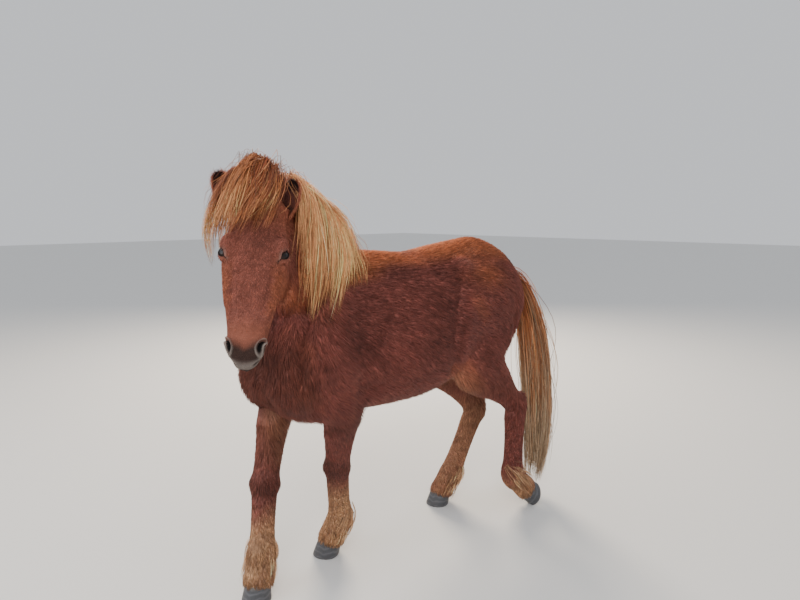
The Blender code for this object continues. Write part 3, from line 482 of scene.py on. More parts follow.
def mesh_object(name, points, faces, material, tints=None, uvs=None):
    """A smooth object from arrays of points and of faces with the same number of corners."""
    data = bpy.data.meshes.new(name)
    count, corners = faces.shape
    data.vertices.add(len(points))
    data.vertices.foreach_set("co", np.ascontiguousarray(points, np.float32).ravel())
    data.loops.add(count * corners)
    data.loops.foreach_set("vertex_index", np.ascontiguousarray(faces, np.int32).ravel())
    data.polygons.add(count)
    data.polygons.foreach_set("loop_start", np.arange(0, count * corners, corners, dtype=np.int32))
    data.update(calc_edges=True)
    data.polygons.foreach_set("use_smooth", np.ones(count, bool))
    if uvs is not None:
        layer = data.uv_layers.new(name="OFBake")
        layer.data.foreach_set("uv", np.ascontiguousarray(uvs, np.float32).ravel())
    if tints is not None:
        paint(data, tints)
    data.materials.append(material)
    return linked(data, name)


def paint(data, tints):
    """Stores one colour a vertex as the attribute that the materials read."""
    layer = data.color_attributes.new("tint", "FLOAT_COLOR", "POINT")
    four = np.ones((len(data.vertices), 4), np.float32)
    four[:, :3] = tints
    layer.data.foreach_set("color", four.ravel())


def placed(obj, slot, *nodes):
    """Moves the piece's mesh onto the frame, hangs it on the root and hides the frame's parts that it takes
    the place of.
    """
    obj.data.transform(Matrix.Translation(ORIGIN_SHIFT))
    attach(obj, "root")
    if nodes:
        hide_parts(*nodes)
    return obj


# Fields over the body, on arrays of points

def steps(values, low, high):
    """0 at low, 1 at high, with a soft start and end, for arrays."""
    share = np.clip((values - low) / (high - low), 0.0, 1.0)
    return share * share * (3.0 - 2.0 * share)


def ripple(points, size, seed):
    """A smooth wandering value between about -1 and 1 that changes over the given size."""
    draw = np.random.default_rng(seed)
    waves = 7
    total = np.zeros(len(points))
    for _ in range(waves):
        way = draw.normal(size=3)
        way *= 2.0 * math.pi / (size * draw.uniform(0.8, 2.2) * np.linalg.norm(way))
        total += np.sin(points @ way + draw.uniform(0, 2.0 * math.pi))
    return total / math.sqrt(waves)


def head_coords(points):
    """Distances from the middle of the eyes down the face, to the left and out of the face."""
    return (points - np.array(EYES_MIDDLE)) @ np.array(HEAD.turn())


def head_share(points):
    """1 on the head, 0 on the neck."""
    back = (points - np.array((0.578, 0.0, 1.40))) @ np.array((0.80, 0.60, 0.0))
    above = (points - np.array((0.60, -0.02, 1.19))) @ np.array((0.449, 0.555, 0.70))
    return steps(back, -0.03, 0.03) * steps(above, -0.03, 0.03)


def leg_share(points):
    """1 on the four legs, 0 on the trunk."""
    return 1.0 - steps(points[:, 2], 0.58, 0.72)


def coat_depth(points):
    """How far the skin lies under the outline of the coat."""
    head = head_share(points)
    muzzle = steps(head_coords(points)[:, 0], 0.12, 0.26)
    leg = leg_share(points)
    body = 0.0095 * (1.0 - leg) + leg * (0.0035 + 0.004 * steps(points[:, 2], 0.35, 0.60))
    return body * (1.0 - head) + head * (0.0042 * (1.0 - muzzle) + 0.0008 * muzzle)


# Skin

def fused_skin():
    """Every form of flesh fused and smoothed."""
    meshes = [trunk(), loft(neck())]
    for sign in (1, -1):
        meshes.append(shoulder(sign))
        meshes.extend(pelvis(sign))
    meshes.extend(foreleg(1, side=Vector((0.1, 1, 0)), **LEFT_FORE))
    meshes.extend(foreleg(-1, side=Vector((-0.5, 1, 0)), **RIGHT_FORE))
    meshes.extend(hindleg(side=Vector((0.2, 1, 0)), **LEFT_HIND))
    meshes.extend(hindleg(side=Vector((0.25, 1, 0)), **RIGHT_HIND))
    meshes.extend(head_forms())
    skin = join_meshes(meshes, "skin")
    modified(skin, "REMESH", mode="VOXEL", voxel_size=VOXEL)
    modified(skin, "SMOOTH", factor=0.5, iterations=SMOOTH_ROUNDS)
    points = vertex_array(skin)
    ahead = head_coords(points)[:, 2]
    heights = points[:, 2]
    shares = steps(heights, 0.55, 0.75) * (1.0 - steps(ahead, -0.30, -0.22) * steps(heights, 1.0, 1.1))
    area = skin.vertex_groups.new(name="trunk")
    for index in np.flatnonzero(shares > 0.001):
        area.add([int(index)], float(shares[index]), "REPLACE")
    modified(skin, "SMOOTH", factor=0.5, iterations=TRUNK_SMOOTH_ROUNDS, vertex_group="trunk")
    skin.vertex_groups.clear()
    return skin


def vertex_array(obj):
    """The places of the vertices."""
    points = np.empty(len(obj.data.vertices) * 3, np.float32)
    obj.data.vertices.foreach_get("co", points)
    return points.reshape(-1, 3).astype(float)


def normal_array(obj):
    """The outward directions at the vertices."""
    normals = np.empty(len(obj.data.vertices) * 3, np.float32)
    obj.data.vertex_normals.foreach_get("vector", normals)
    return normals.reshape(-1, 3).astype(float)


def set_points(obj, points):
    """Moves the vertices to these places."""
    obj.data.vertices.foreach_set("co", points.astype(np.float32).ravel())
    obj.data.update()


def refined(obj, chosen, rounds=2):
    """Splits the faces whose middles are chosen, and smooths what is new."""
    mesh = bmesh.new()
    mesh.from_mesh(obj.data)
    middles = np.array([f.calc_center_median() for f in mesh.faces])
    marks = chosen(middles)
    faces = [f for f, mark in zip(mesh.faces, marks) if mark]
    edges = list({e for f in faces for e in f.edges})
    bmesh.ops.subdivide_edges(mesh, edges=edges, cuts=1, use_grid_fill=True)
    near = [v for v, mark in zip(mesh.verts, chosen(np.array([v.co for v in mesh.verts]))) if mark]
    for _ in range(rounds):
        bmesh.ops.smooth_vert(mesh, verts=near, factor=0.5, use_axis_x=True, use_axis_y=True,
                              use_axis_z=True)
    mesh.to_mesh(obj.data)
    mesh.free()


def eye_place(sign):
    """The middle of one eyeball."""
    return HEAD.at(0.0, sign * EYE_SPREAD, -0.046)


def eye_axes(sign):
    """The gaze of one eye, the long way of its opening and the way across it."""
    gaze = (HEAD.left * sign * 0.66 + HEAD.out * 0.75).normalized()
    inward = (HEAD.out * 0.66 - HEAD.left * sign * 0.75).normalized()
    long_way = (HEAD.down * 0.80 + inward * 0.60).normalized()
    return gaze, long_way, gaze.cross(long_way)


def eye_angles(points, sign):
    """Directions of the points from the eye's middle, on the eye's own axes, and their distance."""
    ways = points - np.array(eye_place(sign))
    reach = np.linalg.norm(ways, axis=1)
    axes = np.array([tuple(axis) for axis in eye_axes(sign)])
    return (ways / reach[:, None]) @ axes.T, reach


def lid_half(along):
    """Half the height of the opening between the lids, for a place along it."""
    return 0.46 * np.clip(1.0 - (along / 0.78) ** 2, 0.0, 1.0) ** 0.8


def nostril_share(points, sign):
    """Below 1 inside the comma-shaped opening of one nostril."""
    middle = HEAD.at(0.296, sign * 0.048, -0.026)
    lean = Matrix.Rotation(math.radians(-18 * sign), 3, HEAD.out) @ HEAD.turn()
    down, left, out = ((points - np.array(middle)) @ np.array(lean)).T
    bend = left - sign * 0.25 * down * down / 0.02 + sign * 0.15 * down
    return (down / 0.027) ** 2 + (bend / (0.0068 + 0.12 * np.clip(down, 0, 0.02))) ** 2 + (out / 0.030) ** 2


def mouth_distance(points):
    """Distance to the line between the lips."""
    nearest = np.full(len(points), 1.0)
    for k in range(49):
        angle = math.radians(-84 + 168 * k / 48)
        place = HEAD.at(0.352 - 0.050 * (1 - math.cos(angle)), math.sin(angle) * 0.066,
                        -0.106 + 0.052 * math.cos(angle))
        nearest = np.minimum(nearest, np.linalg.norm(points - np.array(place), axis=1))
    return nearest


# Muscles, bones and the grooves between them: places along each, its width and its height
BODY_FORMS = (
    (((0.300, 0.190, 1.120), (0.335, 0.215, 1.000), (0.350, 0.228, 0.900), (0.325, 0.190, 0.740)),
     0.050, -0.009),
    (((0.400, 0.150, 1.150), (0.460, 0.200, 1.000), (0.500, 0.210, 0.930)), 0.055, 0.008),
    (((0.420, 0.210, 0.880),), 0.060, 0.011),
    (((0.600, 0.130, 0.880),), 0.038, 0.011),
    (((0.480, 0.120, 1.150), (0.555, 0.150, 1.000), (0.600, 0.175, 0.880)), 0.028, -0.015),
    (((0.560, 0.120, 1.050), (0.610, 0.120, 0.950)), 0.026, 0.008),
    (((0.620, 0.075, 0.820), (0.610, 0.090, 0.760)), 0.042, 0.012),
    (((0.120, 0.260, 0.950),), 0.130, 0.009),
    (((0.280, 0.190, 0.780),), 0.036, -0.010),
    (((-0.170, 0.225, 1.160), (-0.115, 0.260, 1.040), (-0.088, 0.275, 0.930), (-0.125, 0.255, 0.800)),
     0.034, -0.012),
    (((-0.180, 0.250, 1.100), (-0.150, 0.280, 0.980), (-0.140, 0.280, 0.850)), 0.040, 0.005),
    (((-0.100, 0.170, 1.200),), 0.045, -0.014),
    (((-0.210, 0.220, 1.215),), 0.036, 0.015),
    (((-0.330, 0.240, 1.200), (-0.460, 0.260, 1.100)), 0.040, 0.005),
    (((-0.450, 0.280, 1.120), (-0.520, 0.285, 0.950), (-0.530, 0.270, 0.820)), 0.018, -0.009),
    (((-0.235, 0.250, 0.800),), 0.045, 0.010),
    (((-0.360, 0.280, 0.780), (-0.460, 0.280, 0.680)), 0.016, -0.006),
)
BREAST_GROOVE = (((0.670, 0.000, 0.980), (0.660, 0.000, 0.850), (0.600, 0.000, 0.730)), 0.014, -0.012)
# The same on the head, as distances down the face, to one side and out of it
HEAD_FORMS = (
    (((0.030, 0.088, -0.060), (0.160, 0.070, -0.055)), 0.009, 0.006),
    (((0.050, 0.066, -0.020), (0.200, 0.050, -0.022)), 0.011, -0.005),
    (((0.060, 0.088, -0.090), (0.150, 0.075, -0.090)), 0.012, -0.003),
    (((-0.036, 0.078, -0.022),), 0.018, 0.006),
    (((-0.075, 0.072, -0.030),), 0.015, -0.006),
    (((0.036, 0.088, -0.040),), 0.010, -0.003),
    (((0.285, 0.062, -0.032),), 0.016, 0.004),
)


def along_line(points, line):
    """Distance from the points to a line of places."""
    nearest = np.full(len(points), 9.0)
    line = [np.array(place) for place in line]
    for first, second in zip(line, line[1:] or line):
        way = second - first
        share = np.clip((points - first) @ way / max(way @ way, 1e-9), 0, 1)
        nearest = np.minimum(nearest, np.linalg.norm(points - first - share[:, None] * way, axis=1))
    return nearest


def form_rise(points):
    """How far the muscles, the joints and the bones of the face stand out or sink."""
    rise = np.zeros(len(points))
    middle = 0.125 * np.clip((0.28 - points[:, 0]) / 0.91, 0, 1) ** 1.4
    mirrored = points.copy()
    mirrored[:, 1] = 2.0 * middle - points[:, 1]
    for line, width, height in BODY_FORMS:
        near = np.minimum(along_line(points, line), along_line(mirrored, line))
        rise += height * np.exp(-(near / width) ** 2)
    line, width, height = BREAST_GROOVE
    rise += height * np.exp(-(along_line(points, line) / width) ** 2)
    legs = (LEFT_FORE, RIGHT_FORE, LEFT_HIND, RIGHT_HIND)
    for joints, hoof in zip(legs, HOOVES.values()):
        upper, fetlock = joints.get("knee", joints.get("hock")), joints["fetlock"]
        side, toe = hoof["side"], hoof["toe"]
        for sign in (1, -1):
            knobs = ((upper, 0.030, 0.0060, 0.024), (fetlock, 0.026, 0.0045, 0.020))
            for joint, aside, height, width in knobs:
                bump = np.linalg.norm(points - np.array(joint + side * aside * sign), axis=1)
                rise += height * np.exp(-(bump / width) ** 2)
            start = upper.lerp(fetlock, 0.20) + side * 0.026 * sign - toe * 0.004
            end = upper.lerp(fetlock, 0.85) + side * 0.024 * sign - toe * 0.006
            rise -= 0.0050 * np.exp(-(along_line(points, (start, end)) / 0.008) ** 2)
        knob = np.linalg.norm(points - np.array(upper + toe * 0.035), axis=1)
        rise += 0.0050 * np.exp(-(knob / 0.026) ** 2)
    rest = head_coords(points)
    share = head_share(points)
    rest[:, 1] = np.abs(rest[:, 1])
    for line, width, height in HEAD_FORMS:
        rise += share * height * np.exp(-(along_line(rest, line) / width) ** 2)
    return rise


def raise_forms(skin):
    """Brings the forms out of the skin, and narrows the muzzle to the lips."""
    points, normals = vertex_array(skin), normal_array(skin)
    share = head_share(points)
    points += normals * (form_rise(points) * (1.0 + 0.5 * (1.0 - share)))[:, None]
    down, left, _ = head_coords(points).T
    narrow = share * (0.09 * steps(down, 0.15, 0.27) + 0.24 * steps(down, 0.29, 0.36))
    points -= np.array(HEAD.left) * (left * narrow)[:, None]
    set_points(skin, points)


def shape_face(skin):
    """Lids, nostrils, lips and the folds round them."""
    points, normals = vertex_array(skin), normal_array(skin)
    for sign in (1, -1):
        share = nostril_share(points, sign)
        points -= normals * (0.017 * np.clip(1.0 - share, 0, 1) ** 0.7)[:, None]
        points += normals * (0.0040 * np.exp(-((share - 1.7) / 0.8) ** 2))[:, None]
    gap = mouth_distance(points)
    points -= normals * (0.0045 * np.clip(1.0 - (gap / 0.0065) ** 2, 0, 1))[:, None]
    points += normals * (0.0022 * np.exp(-((gap - 0.013) / 0.006) ** 2))[:, None]
    for sign in (1, -1):
        ways, reach = eye_angles(points, sign)
        facing = ways[:, 0]
        near = (reach < 0.036) & (facing > 0.0)
        cover = EYE_RADIUS + 0.0038
        wanted = np.maximum(reach, cover)
        fold = np.abs(np.abs(ways[:, 2]) - lid_half(ways[:, 1]) - 0.24)
        wanted = wanted - 0.0016 * np.exp(-(fold / 0.07) ** 2) * (facing > 0.2)
        centre = np.array(eye_place(sign))
        moved = centre + (points - centre) * (wanted / reach)[:, None]
        points[near] = moved[near]
    set_points(skin, points)


def open_lids(skin):
    """Cuts the almond openings of the eyes and turns their rims in against the eyeballs."""
    mesh = bmesh.new()
    mesh.from_mesh(skin.data)
    for sign in (1, -1):
        def open_at(places):
            ways, reach = eye_angles(places, sign)
            return (ways[:, 0] > 0.15) & (reach < 0.034) & (np.abs(ways[:, 2]) < lid_half(ways[:, 1]))

        middles = np.array([f.calc_center_median() for f in mesh.faces])
        spare = [f for f, inside in zip(mesh.faces, open_at(middles)) if inside]
        bmesh.ops.delete(mesh, geom=spare, context="FACES")
        rim = [e for e in mesh.edges if e.is_boundary and (e.verts[0].co - eye_place(sign)).length < 0.04]
        corners = list({v for e in rim for v in e.verts})
        gaze, long_way, cross_way = eye_axes(sign)
        for vertex in corners:
            ways, _ = eye_angles(np.array([vertex.co]), sign)
            along = float(np.clip(ways[0, 1], -0.76, 0.76))
            across = math.copysign(float(lid_half(np.array(along))), ways[0, 2])
            forward = math.sqrt(max(1.0 - along * along - across * across, 0.05))
            way = gaze * forward + long_way * along + cross_way * across
            vertex.co = eye_place(sign) + way.normalized() * (EYE_RADIUS + 0.0026)
        turned = bmesh.ops.extrude_edge_only(mesh, edges=rim)
        for vertex in (g for g in turned["geom"] if isinstance(g, bmesh.types.BMVert)):
            way = (vertex.co - eye_place(sign)).normalized()
            vertex.co = eye_place(sign) + way * (EYE_RADIUS - 0.0012)
    bmesh.ops.recalc_face_normals(mesh, faces=mesh.faces)
    mesh.to_mesh(skin.data)
    mesh.free()


def drawn_into_hooves(points):
    """The points, with the skin under each coronet drawn up and in, inside the hoof."""
    for hoof in HOOVES.values():
        top = np.array(hoof["top"])
        rest = points - np.array(hoof["coronet"])
        below = np.maximum(-0.005 - rest @ top, 0.0) * (np.linalg.norm(rest, axis=1) < 0.13)
        middle = np.array(hoof["centre"]) - np.array(hoof["coronet"])
        middle = middle - top * (middle @ top)
        flat = rest - np.outer(rest @ top, top) - middle * 0.15
        inward = 0.12 * (below > 0) + 0.45 * np.clip(below / 0.03, 0.0, 1.0)
        points = points + np.outer(below, top) - flat * inward[:, None]
    return points


def made_skin():
    """The whole skin, from the forms to the lids."""
    skin = fused_skin()
    points, normals = vertex_array(skin), normal_array(skin)
    set_points(skin, points - normals * coat_depth(points)[:, None])
    refined(skin, lambda p: (head_share(p) > 0.5) & (head_coords(p)[:, 0] > -0.26))

    def from_eyes(p):
        return np.min([np.linalg.norm(p - np.array(eye_place(sign)), axis=1) for sign in (1, -1)], axis=0)

    def fine_area(p):
        down, _, out = head_coords(p).T
        return ((down > 0.22) & (out > -0.2) | (from_eyes(p) < 0.046)) & (head_share(p) > 0.5)

    refined(skin, fine_area)
    refined(skin, lambda p: fine_area(p) & (from_eyes(p) < 0.036), rounds=1)
    raise_forms(skin)
    shape_face(skin)
    points = vertex_array(skin)
    trunk = skin.vertex_groups.new(name="trunk")
    trunk.add(np.flatnonzero(head_share(points) < 0.5).tolist(), 1.0, "REPLACE")
    modified(skin, "DECIMATE", ratio=min(1.0, SKIN_TRIANGLES / (2 * len(points))), vertex_group="trunk",
             vertex_group_factor=10.0)
    set_points(skin, drawn_into_hooves(vertex_array(skin)))
    open_lids(skin)
    only(skin)
    bpy.ops.object.shade_smooth()
    return skin


# Colours over the body

def mixed(first, second, share):
    """The first colours, moved towards the second by a share for each point."""
    share = np.asarray(share)[:, None]
    return first * (1.0 - share) + np.asarray(second) * share


def leg_tint(points, tone, colours, slow, fine):
    """Brown to the knees and hocks, tan below, with a pale streak inside the forearm and the thigh."""
    x, y, z = points.T
    fore = steps(x, -0.05, 0.05)
    right_hind = (1.0 - fore) * (1.0 - steps(y, 0.06, 0.12))
    height = z + 0.020 * slow + 0.012 * fine
    low = fore * (1.0 - steps(height, 0.25, 0.40)) + (1.0 - fore) * (1.0 - steps(height, 0.10, 0.24))
    low = np.maximum(low * (1.0 - right_hind), right_hind * (0.62 - 0.62 * steps(height, 0.42, 0.66)))
    tone = mixed(tone, colours["legs"], np.clip(low * (0.86 + 0.10 * fine), 0, 0.95))
    inner = np.exp(-(((x - 0.52) / 0.060) ** 2 + ((y + 0.100) / 0.055) ** 2)) * steps(z, 0.42, 0.52)
    tone = mixed(tone, colours["legs"], 0.32 * inner * (1.0 - steps(z, 0.66, 0.74)))
    knees = np.exp(-((z - 0.425) / 0.055) ** 2) * fore
    tone = mixed(tone, colours["knees"], 0.45 * knees)
    return tone * (1.0 - 0.20 * (1.0 - steps(z, 0.60, 0.72)) * (1.0 - low))[:, None]


def coat_tint(points, colours):
    """The markings of the coat at these points, from the named colours, with painted highlight along the top,
    on the hip and at the sides of the face, and painted shade under the belly, on the breast and brow, in the
    nostrils, between the lips and in the grooves.
    """
    x, y, z = points.T
    down, left, out = head_coords(points).T
    head, leg = head_share(points), leg_share(points)
    slow, fine = ripple(points, 0.16, 3), ripple(points, 0.035, 4)
    tone = np.tile(np.array(colours["body"]), (len(points), 1))
    # Painted highlight: the back, the croup and the top of the neck are lightened to orange, where the
    # backlight falls along the top.
    ahead = 0.045 * steps(x, -0.05, 0.25)
    top = steps(z + 0.018 * slow + ahead, 1.215, 1.290) * (1.0 - head)
    tone = mixed(tone, colours["orange_and_backlight"], 0.90 * top)
    tone = mixed(tone, colours["orange_and_backlight"], 0.30 * steps(slow, 0.6, 1.6) * (1.0 - leg) * (1.0 - head))
    # Painted highlight on the point of the hip.
    hip = np.exp(-(((x + 0.30) / 0.10) ** 2 + ((z - 1.19) / 0.055) ** 2)) * (np.abs(y) > 0.08)
    tone = mixed(tone, colours["orange_and_backlight"], 0.65 * hip)
    # Painted shade: darker under the belly and on the breast under the head.
    under = 1.0 - steps(z + 0.01 * slow, 0.66, 0.76)
    shade_under_head = steps(x, 0.48, 0.60) * (1.0 - steps(z, 0.95, 1.10)) * steps(z, 0.60, 0.70) * (1.0 - head)
    tone = mixed(tone, colours["under"], np.maximum(0.60 * under * (1.0 - leg), 0.85 * shade_under_head))
    groin = np.exp(-(((x + 0.30) / 0.13) ** 2 + ((z - 0.74) / 0.10) ** 2))
    groin = groin * steps(0.15 - np.abs(y - 0.08), -0.05, 0.08)
    tone = mixed(tone, colours["legs"], 0.65 * groin)
    tone = leg_tint(points, tone, colours, slow, fine)
    # The sides of the face turn orange: painted highlight where the backlight catches their edges.
    face = mixed(np.tile(np.array(colours["face"]), (len(points), 1)), colours["orange_and_backlight"],
                 0.55 * steps(np.abs(left) + 0.006 * fine, 0.050, 0.085) * steps(down, -0.02, 0.08)
                 * (1.0 - steps(down, 0.22, 0.30)))
    face = mixed(face, colours["orange_and_backlight"], 0.35 * (1.0 - steps(down, -0.16, -0.04)))
    face = mixed(face, colours["orange_and_backlight"], 0.25 * steps(down, 0.20, 0.26))
    # Painted shadow of the forelock across the brow.
    brow = np.exp(-((down + 0.07) / 0.065) ** 2 - ((left - 0.01) / 0.060) ** 2) * steps(out, -0.08, -0.03)
    face = mixed(face, colours["under"], 0.60 * brow)
    muzzle = steps(down + 0.004 * fine - 0.5 * np.abs(np.abs(left) - 0.045) + 0.02, 0.285, 0.325)
    face = mixed(face, colours["muzzle"], 0.92 * muzzle)
    chin = steps(down, 0.28, 0.33) * (1.0 - steps(out, -0.135, -0.105))
    face = mixed(face, colours["rims"], 0.45 * chin)
    for sign in (1, -1):
        share = nostril_share(points, sign)
        outer = 0.35 + 0.65 * steps(left * sign, 0.046, 0.060) + 0.4 * steps(down, 0.30, 0.33)
        rim = np.exp(-((share - 1.9) / 0.9) ** 2) * np.clip(outer, 0, 1)
        face = mixed(face, colours["rims"], 0.78 * rim)
        # Painted shade inside the nostril.
        face = mixed(face, colours["pits"], 1.0 - steps(share, 0.55, 1.05))
        ways, reach = eye_angles(points, sign)
        edge = np.abs(ways[:, 2]) - lid_half(ways[:, 1])
        lids = (1.0 - steps(reach, 0.028, 0.040)) * steps(ways[:, 0], 0.0, 0.3)
        lower = lids * (ways[:, 2] * sign < 0.1) * np.exp(-((edge - 0.20) / 0.12) ** 2)
        face = mixed(face, colours["rims"], 0.26 * lower)
        face = mixed(face, colours["pits"], lids * (1.0 - steps(edge, 0.03, 0.12)))
    line = mouth_distance(points) if muzzle.max() > 0.5 else np.ones(len(points))
    face = mixed(face, colours["rims"], 0.55 * np.exp(-((line - 0.012) / 0.007) ** 2))
    # Painted shade in the gap between the lips.
    face = mixed(face, colours["pits"], 0.9 * (1.0 - steps(line, 0.002, 0.006)))
    tone = mixed(tone, colours["orange_and_backlight"], 0.12 * head)
    tone = tone * (1.0 - head)[:, None] + face * head[:, None]
    # Painted shade in the grooves between the forms and painted highlight on those that stand out, with
    # random lighter and darker patches.
    relief = np.clip(1.0 + 14.0 * form_rise(points), 0.66, 1.10)
    bright = (1.0 + 0.12 * slow * (1.0 - head) + 0.08 * fine) * relief
    return np.clip(tone * bright[:, None], 0.0, 1.0)


# Materials

def socketed(name, sockets_in, sockets_out):
    """A node group with these sockets, and its entry and exit."""
    group = bpy.data.node_groups.new(name, "ShaderNodeTree")
    for label, kind, value in sockets_in:
        socket = group.interface.new_socket(label, in_out="INPUT", socket_type=kind)
        socket.default_value = value
    for label, kind in sockets_out:
        group.interface.new_socket(label, in_out="OUTPUT", socket_type=kind)
    return group, group.nodes.new("NodeGroupInput"), group.nodes.new("NodeGroupOutput")


def streak_group():
    """Fine light and dark variation over the colour stored on the piece, with a height for the bump."""
    group, entry, leave = socketed(
        "Hair Streaks",
        (("Grain", "NodeSocketFloat", 260.0), ("Contrast", "NodeSocketFloat", 0.35),
         ("Patches", "NodeSocketFloat", 0.12)),
        (("Color", "NodeSocketColor"), ("Height", "NodeSocketFloat")))
    nodes, links = group.nodes, group.links
    place = nodes.new("ShaderNodeTexCoord")
    tint = nodes.new("ShaderNodeAttribute")
    tint.attribute_name = "tint"
    fine = nodes.new("ShaderNodeTexNoise")
    fine.inputs["Detail"].default_value = 3.0
    links.new(place.outputs["Object"], fine.inputs["Vector"])
    links.new(entry.outputs["Grain"], fine.inputs["Scale"])
    broad = nodes.new("ShaderNodeTexNoise")
    broad.inputs["Scale"].default_value = 9.0
    broad.inputs["Detail"].default_value = 4.0
    links.new(place.outputs["Object"], broad.inputs["Vector"])
    parts = []
    for noise, strength in ((fine, "Contrast"), (broad, "Patches")):
        centred = nodes.new("ShaderNodeMath")
        centred.operation = "SUBTRACT"
        centred.inputs[1].default_value = 0.5
        links.new(noise.outputs["Fac"], centred.inputs[0])
        scaled = nodes.new("ShaderNodeMath")
        scaled.operation = "MULTIPLY_ADD"
        links.new(centred.outputs[0], scaled.inputs[0])
        links.new(entry.outputs[strength], scaled.inputs[1])
        scaled.inputs[2].default_value = 1.0 if not parts else 0.0
        parts.append(scaled)
    total = nodes.new("ShaderNodeMath")
    total.operation = "ADD"
    links.new(parts[0].outputs[0], total.inputs[0])
    links.new(parts[1].outputs[0], total.inputs[1])
    scale = nodes.new("ShaderNodeVectorMath")
    scale.operation = "SCALE"
    links.new(tint.outputs["Color"], scale.inputs[0])
    links.new(total.outputs[0], scale.inputs["Scale"])
    links.new(scale.outputs["Vector"], leave.inputs["Color"])
    links.new(fine.outputs["Fac"], leave.inputs["Height"])
    return group


def tinted_material(name, group, grain, contrast, roughness, bump=0.0, **sockets):
    """A finish that reads the piece's own colours through the streaks."""
    material = bpy.data.materials.new(name)
    material.use_nodes = True
    nodes, links = material.node_tree.nodes, material.node_tree.links
    shader = nodes["Principled BSDF"]
    streaks = nodes.new("ShaderNodeGroup")
    streaks.node_tree = group
    streaks.inputs["Grain"].default_value = grain
    streaks.inputs["Contrast"].default_value = contrast
    links.new(streaks.outputs["Color"], shader.inputs["Base Color"])
    shader.inputs["Roughness"].default_value = roughness
    for label, value in sockets.items():
        shader.inputs[label.replace("_", " ")].default_value = value
    if bump:
        relief = nodes.new("ShaderNodeBump")
        relief.inputs["Strength"].default_value = bump
        relief.inputs["Distance"].default_value = 0.003
        links.new(streaks.outputs["Height"], relief.inputs["Height"])
        links.new(relief.outputs["Normal"], shader.inputs["Normal"])
    return material


def finishes():
    """Every material by name, made once."""
    if "coat_hair" not in bpy.data.materials:
        group = streak_group()
        tinted_material("coat_skin", group, 330.0, 0.5, 0.85, 0.5, Specular_IOR_Level=0.15)
        tinted_material("coat_hair", group, 120.0, 0.35, 0.62, Specular_IOR_Level=0.30)
        tinted_material("long_hair", group, 90.0, 0.30, 0.50, Specular_IOR_Level=0.40)
        tinted_material("horn", group, 160.0, 0.40, 0.50, 0.35, Specular_IOR_Level=0.40)
        tinted_material("eye_surface", group, 60.0, 0.2, 0.12, Specular_IOR_Level=0.30, Coat_Weight=0.10,
                        Coat_Roughness=0.05)
    return bpy.data.materials


# Hair

def unwrapped(obj):
    """Lays the piece's own surface out flat in the map that the tufts share."""
    only(obj)
    obj.data.uv_layers.new(name="OFBake")
    bpy.ops.object.mode_set(mode="EDIT")
    bpy.ops.mesh.select_all(action="SELECT")
    bpy.ops.uv.smart_project(angle_limit=math.radians(70), island_margin=0.002)
    bpy.ops.object.mode_set(mode="OBJECT")


class Field:
    """A surface as arrays, to root hair on."""

    def __init__(self, obj, moved=(0.0, 0.0, 0.0)):
        data = obj.data
        data.calc_loop_triangles()
        count = len(data.loop_triangles)
        corners, loops = np.empty(count * 3, np.int32), np.empty(count * 3, np.int32)
        data.loop_triangles.foreach_get("vertices", corners)
        data.loop_triangles.foreach_get("loops", loops)
        uvs = np.empty(len(data.loops) * 2, np.float32)
        data.uv_layers["OFBake"].data.foreach_get("uv", uvs)
        points, normals = vertex_array(obj) - np.array(moved), normal_array(obj)
        corners = corners.reshape(-1, 3)
        self.points, self.normals = points[corners], normals[corners]
        self.uvs = uvs.reshape(-1, 2)[loops].reshape(-1, 3, 2)
        ways = np.cross(self.points[:, 1] - self.points[:, 0], self.points[:, 2] - self.points[:, 0])
        self.areas = np.linalg.norm(ways, axis=1) / 2.0

    def roots(self, count, weight, draw):
        """Places, normals and map places of evenly strewn roots."""
        share = np.cumsum(self.areas * weight(self.points.mean(axis=1)))
        picks = np.searchsorted(share / share[-1], (np.arange(count) + draw.random(count)) / count)
        picks = np.minimum(picks, len(share) - 1)
        first, second = np.sqrt(draw.random(count)), draw.random(count)
        parts = np.stack([1 - first, first * (1 - second), first * second], axis=1)[:, :, None]
        normals = unit((self.normals[picks] * parts).sum(axis=1))
        return (self.points[picks] * parts).sum(axis=1), normals, (self.uvs[picks] * parts).sum(axis=1)


def unit(ways):
    """The directions, each of length 1."""
    return ways / np.maximum(np.linalg.norm(ways, axis=-1, keepdims=True), 1e-9)


def hair_mesh(name, paths, ups, widths, tints, uvs, material):
    """Closed tapered hairs along the paths, each with three sides and a point."""
    count, length = paths.shape[:2]
    along = unit(np.gradient(paths, axis=1))
    sides = unit(np.cross(along, ups))
    ups = unit(np.cross(sides, along))
    half = widths[:, :, None] * 0.5
    corners = np.stack([paths - sides * half, paths + sides * half, paths + ups * half], axis=2)
    rows = corners[:, :-1].reshape(count, -1, 3)
    points = np.concatenate([rows, paths[:, -1:]], axis=1)
    each = points.shape[1]
    faces = [(0, 1, 2)]
    for k in range(length - 2):
        for a, b in ((1, 0), (0, 2), (2, 1)):
            low, high = 3 * k, 3 * k + 3
            faces += [(low + a, low + b, high + b), (low + a, high + b, high + a)]
    faces += [(each - 4 + a, each - 4 + b, each - 1) for a, b in ((1, 0), (0, 2), (2, 1))]
    faces = np.array(faces)
    across = np.concatenate([np.tile((0.0, 1.0, 0.5), length - 1), (0.5,)])
    upward = np.concatenate([np.repeat(np.arange(length - 1), 3), (length - 1,)]) / (length - 1)
    spots = np.stack([across, upward], axis=1)[faces.ravel()] * PATCH
    every = (faces[None] + (np.arange(count) * each)[:, None, None]).reshape(-1, 3)
    maps = np.clip(uvs, 0.0, 1.0 - PATCH)[:, None, :] + spots[None]
    shades = np.concatenate([np.repeat(tints[:, :-1], 3, axis=1), tints[:, -1:]], axis=1)
    return mesh_object(name, points.reshape(-1, 3), every, material, shades.reshape(-1, 3),
                       maps.reshape(-1, 2))


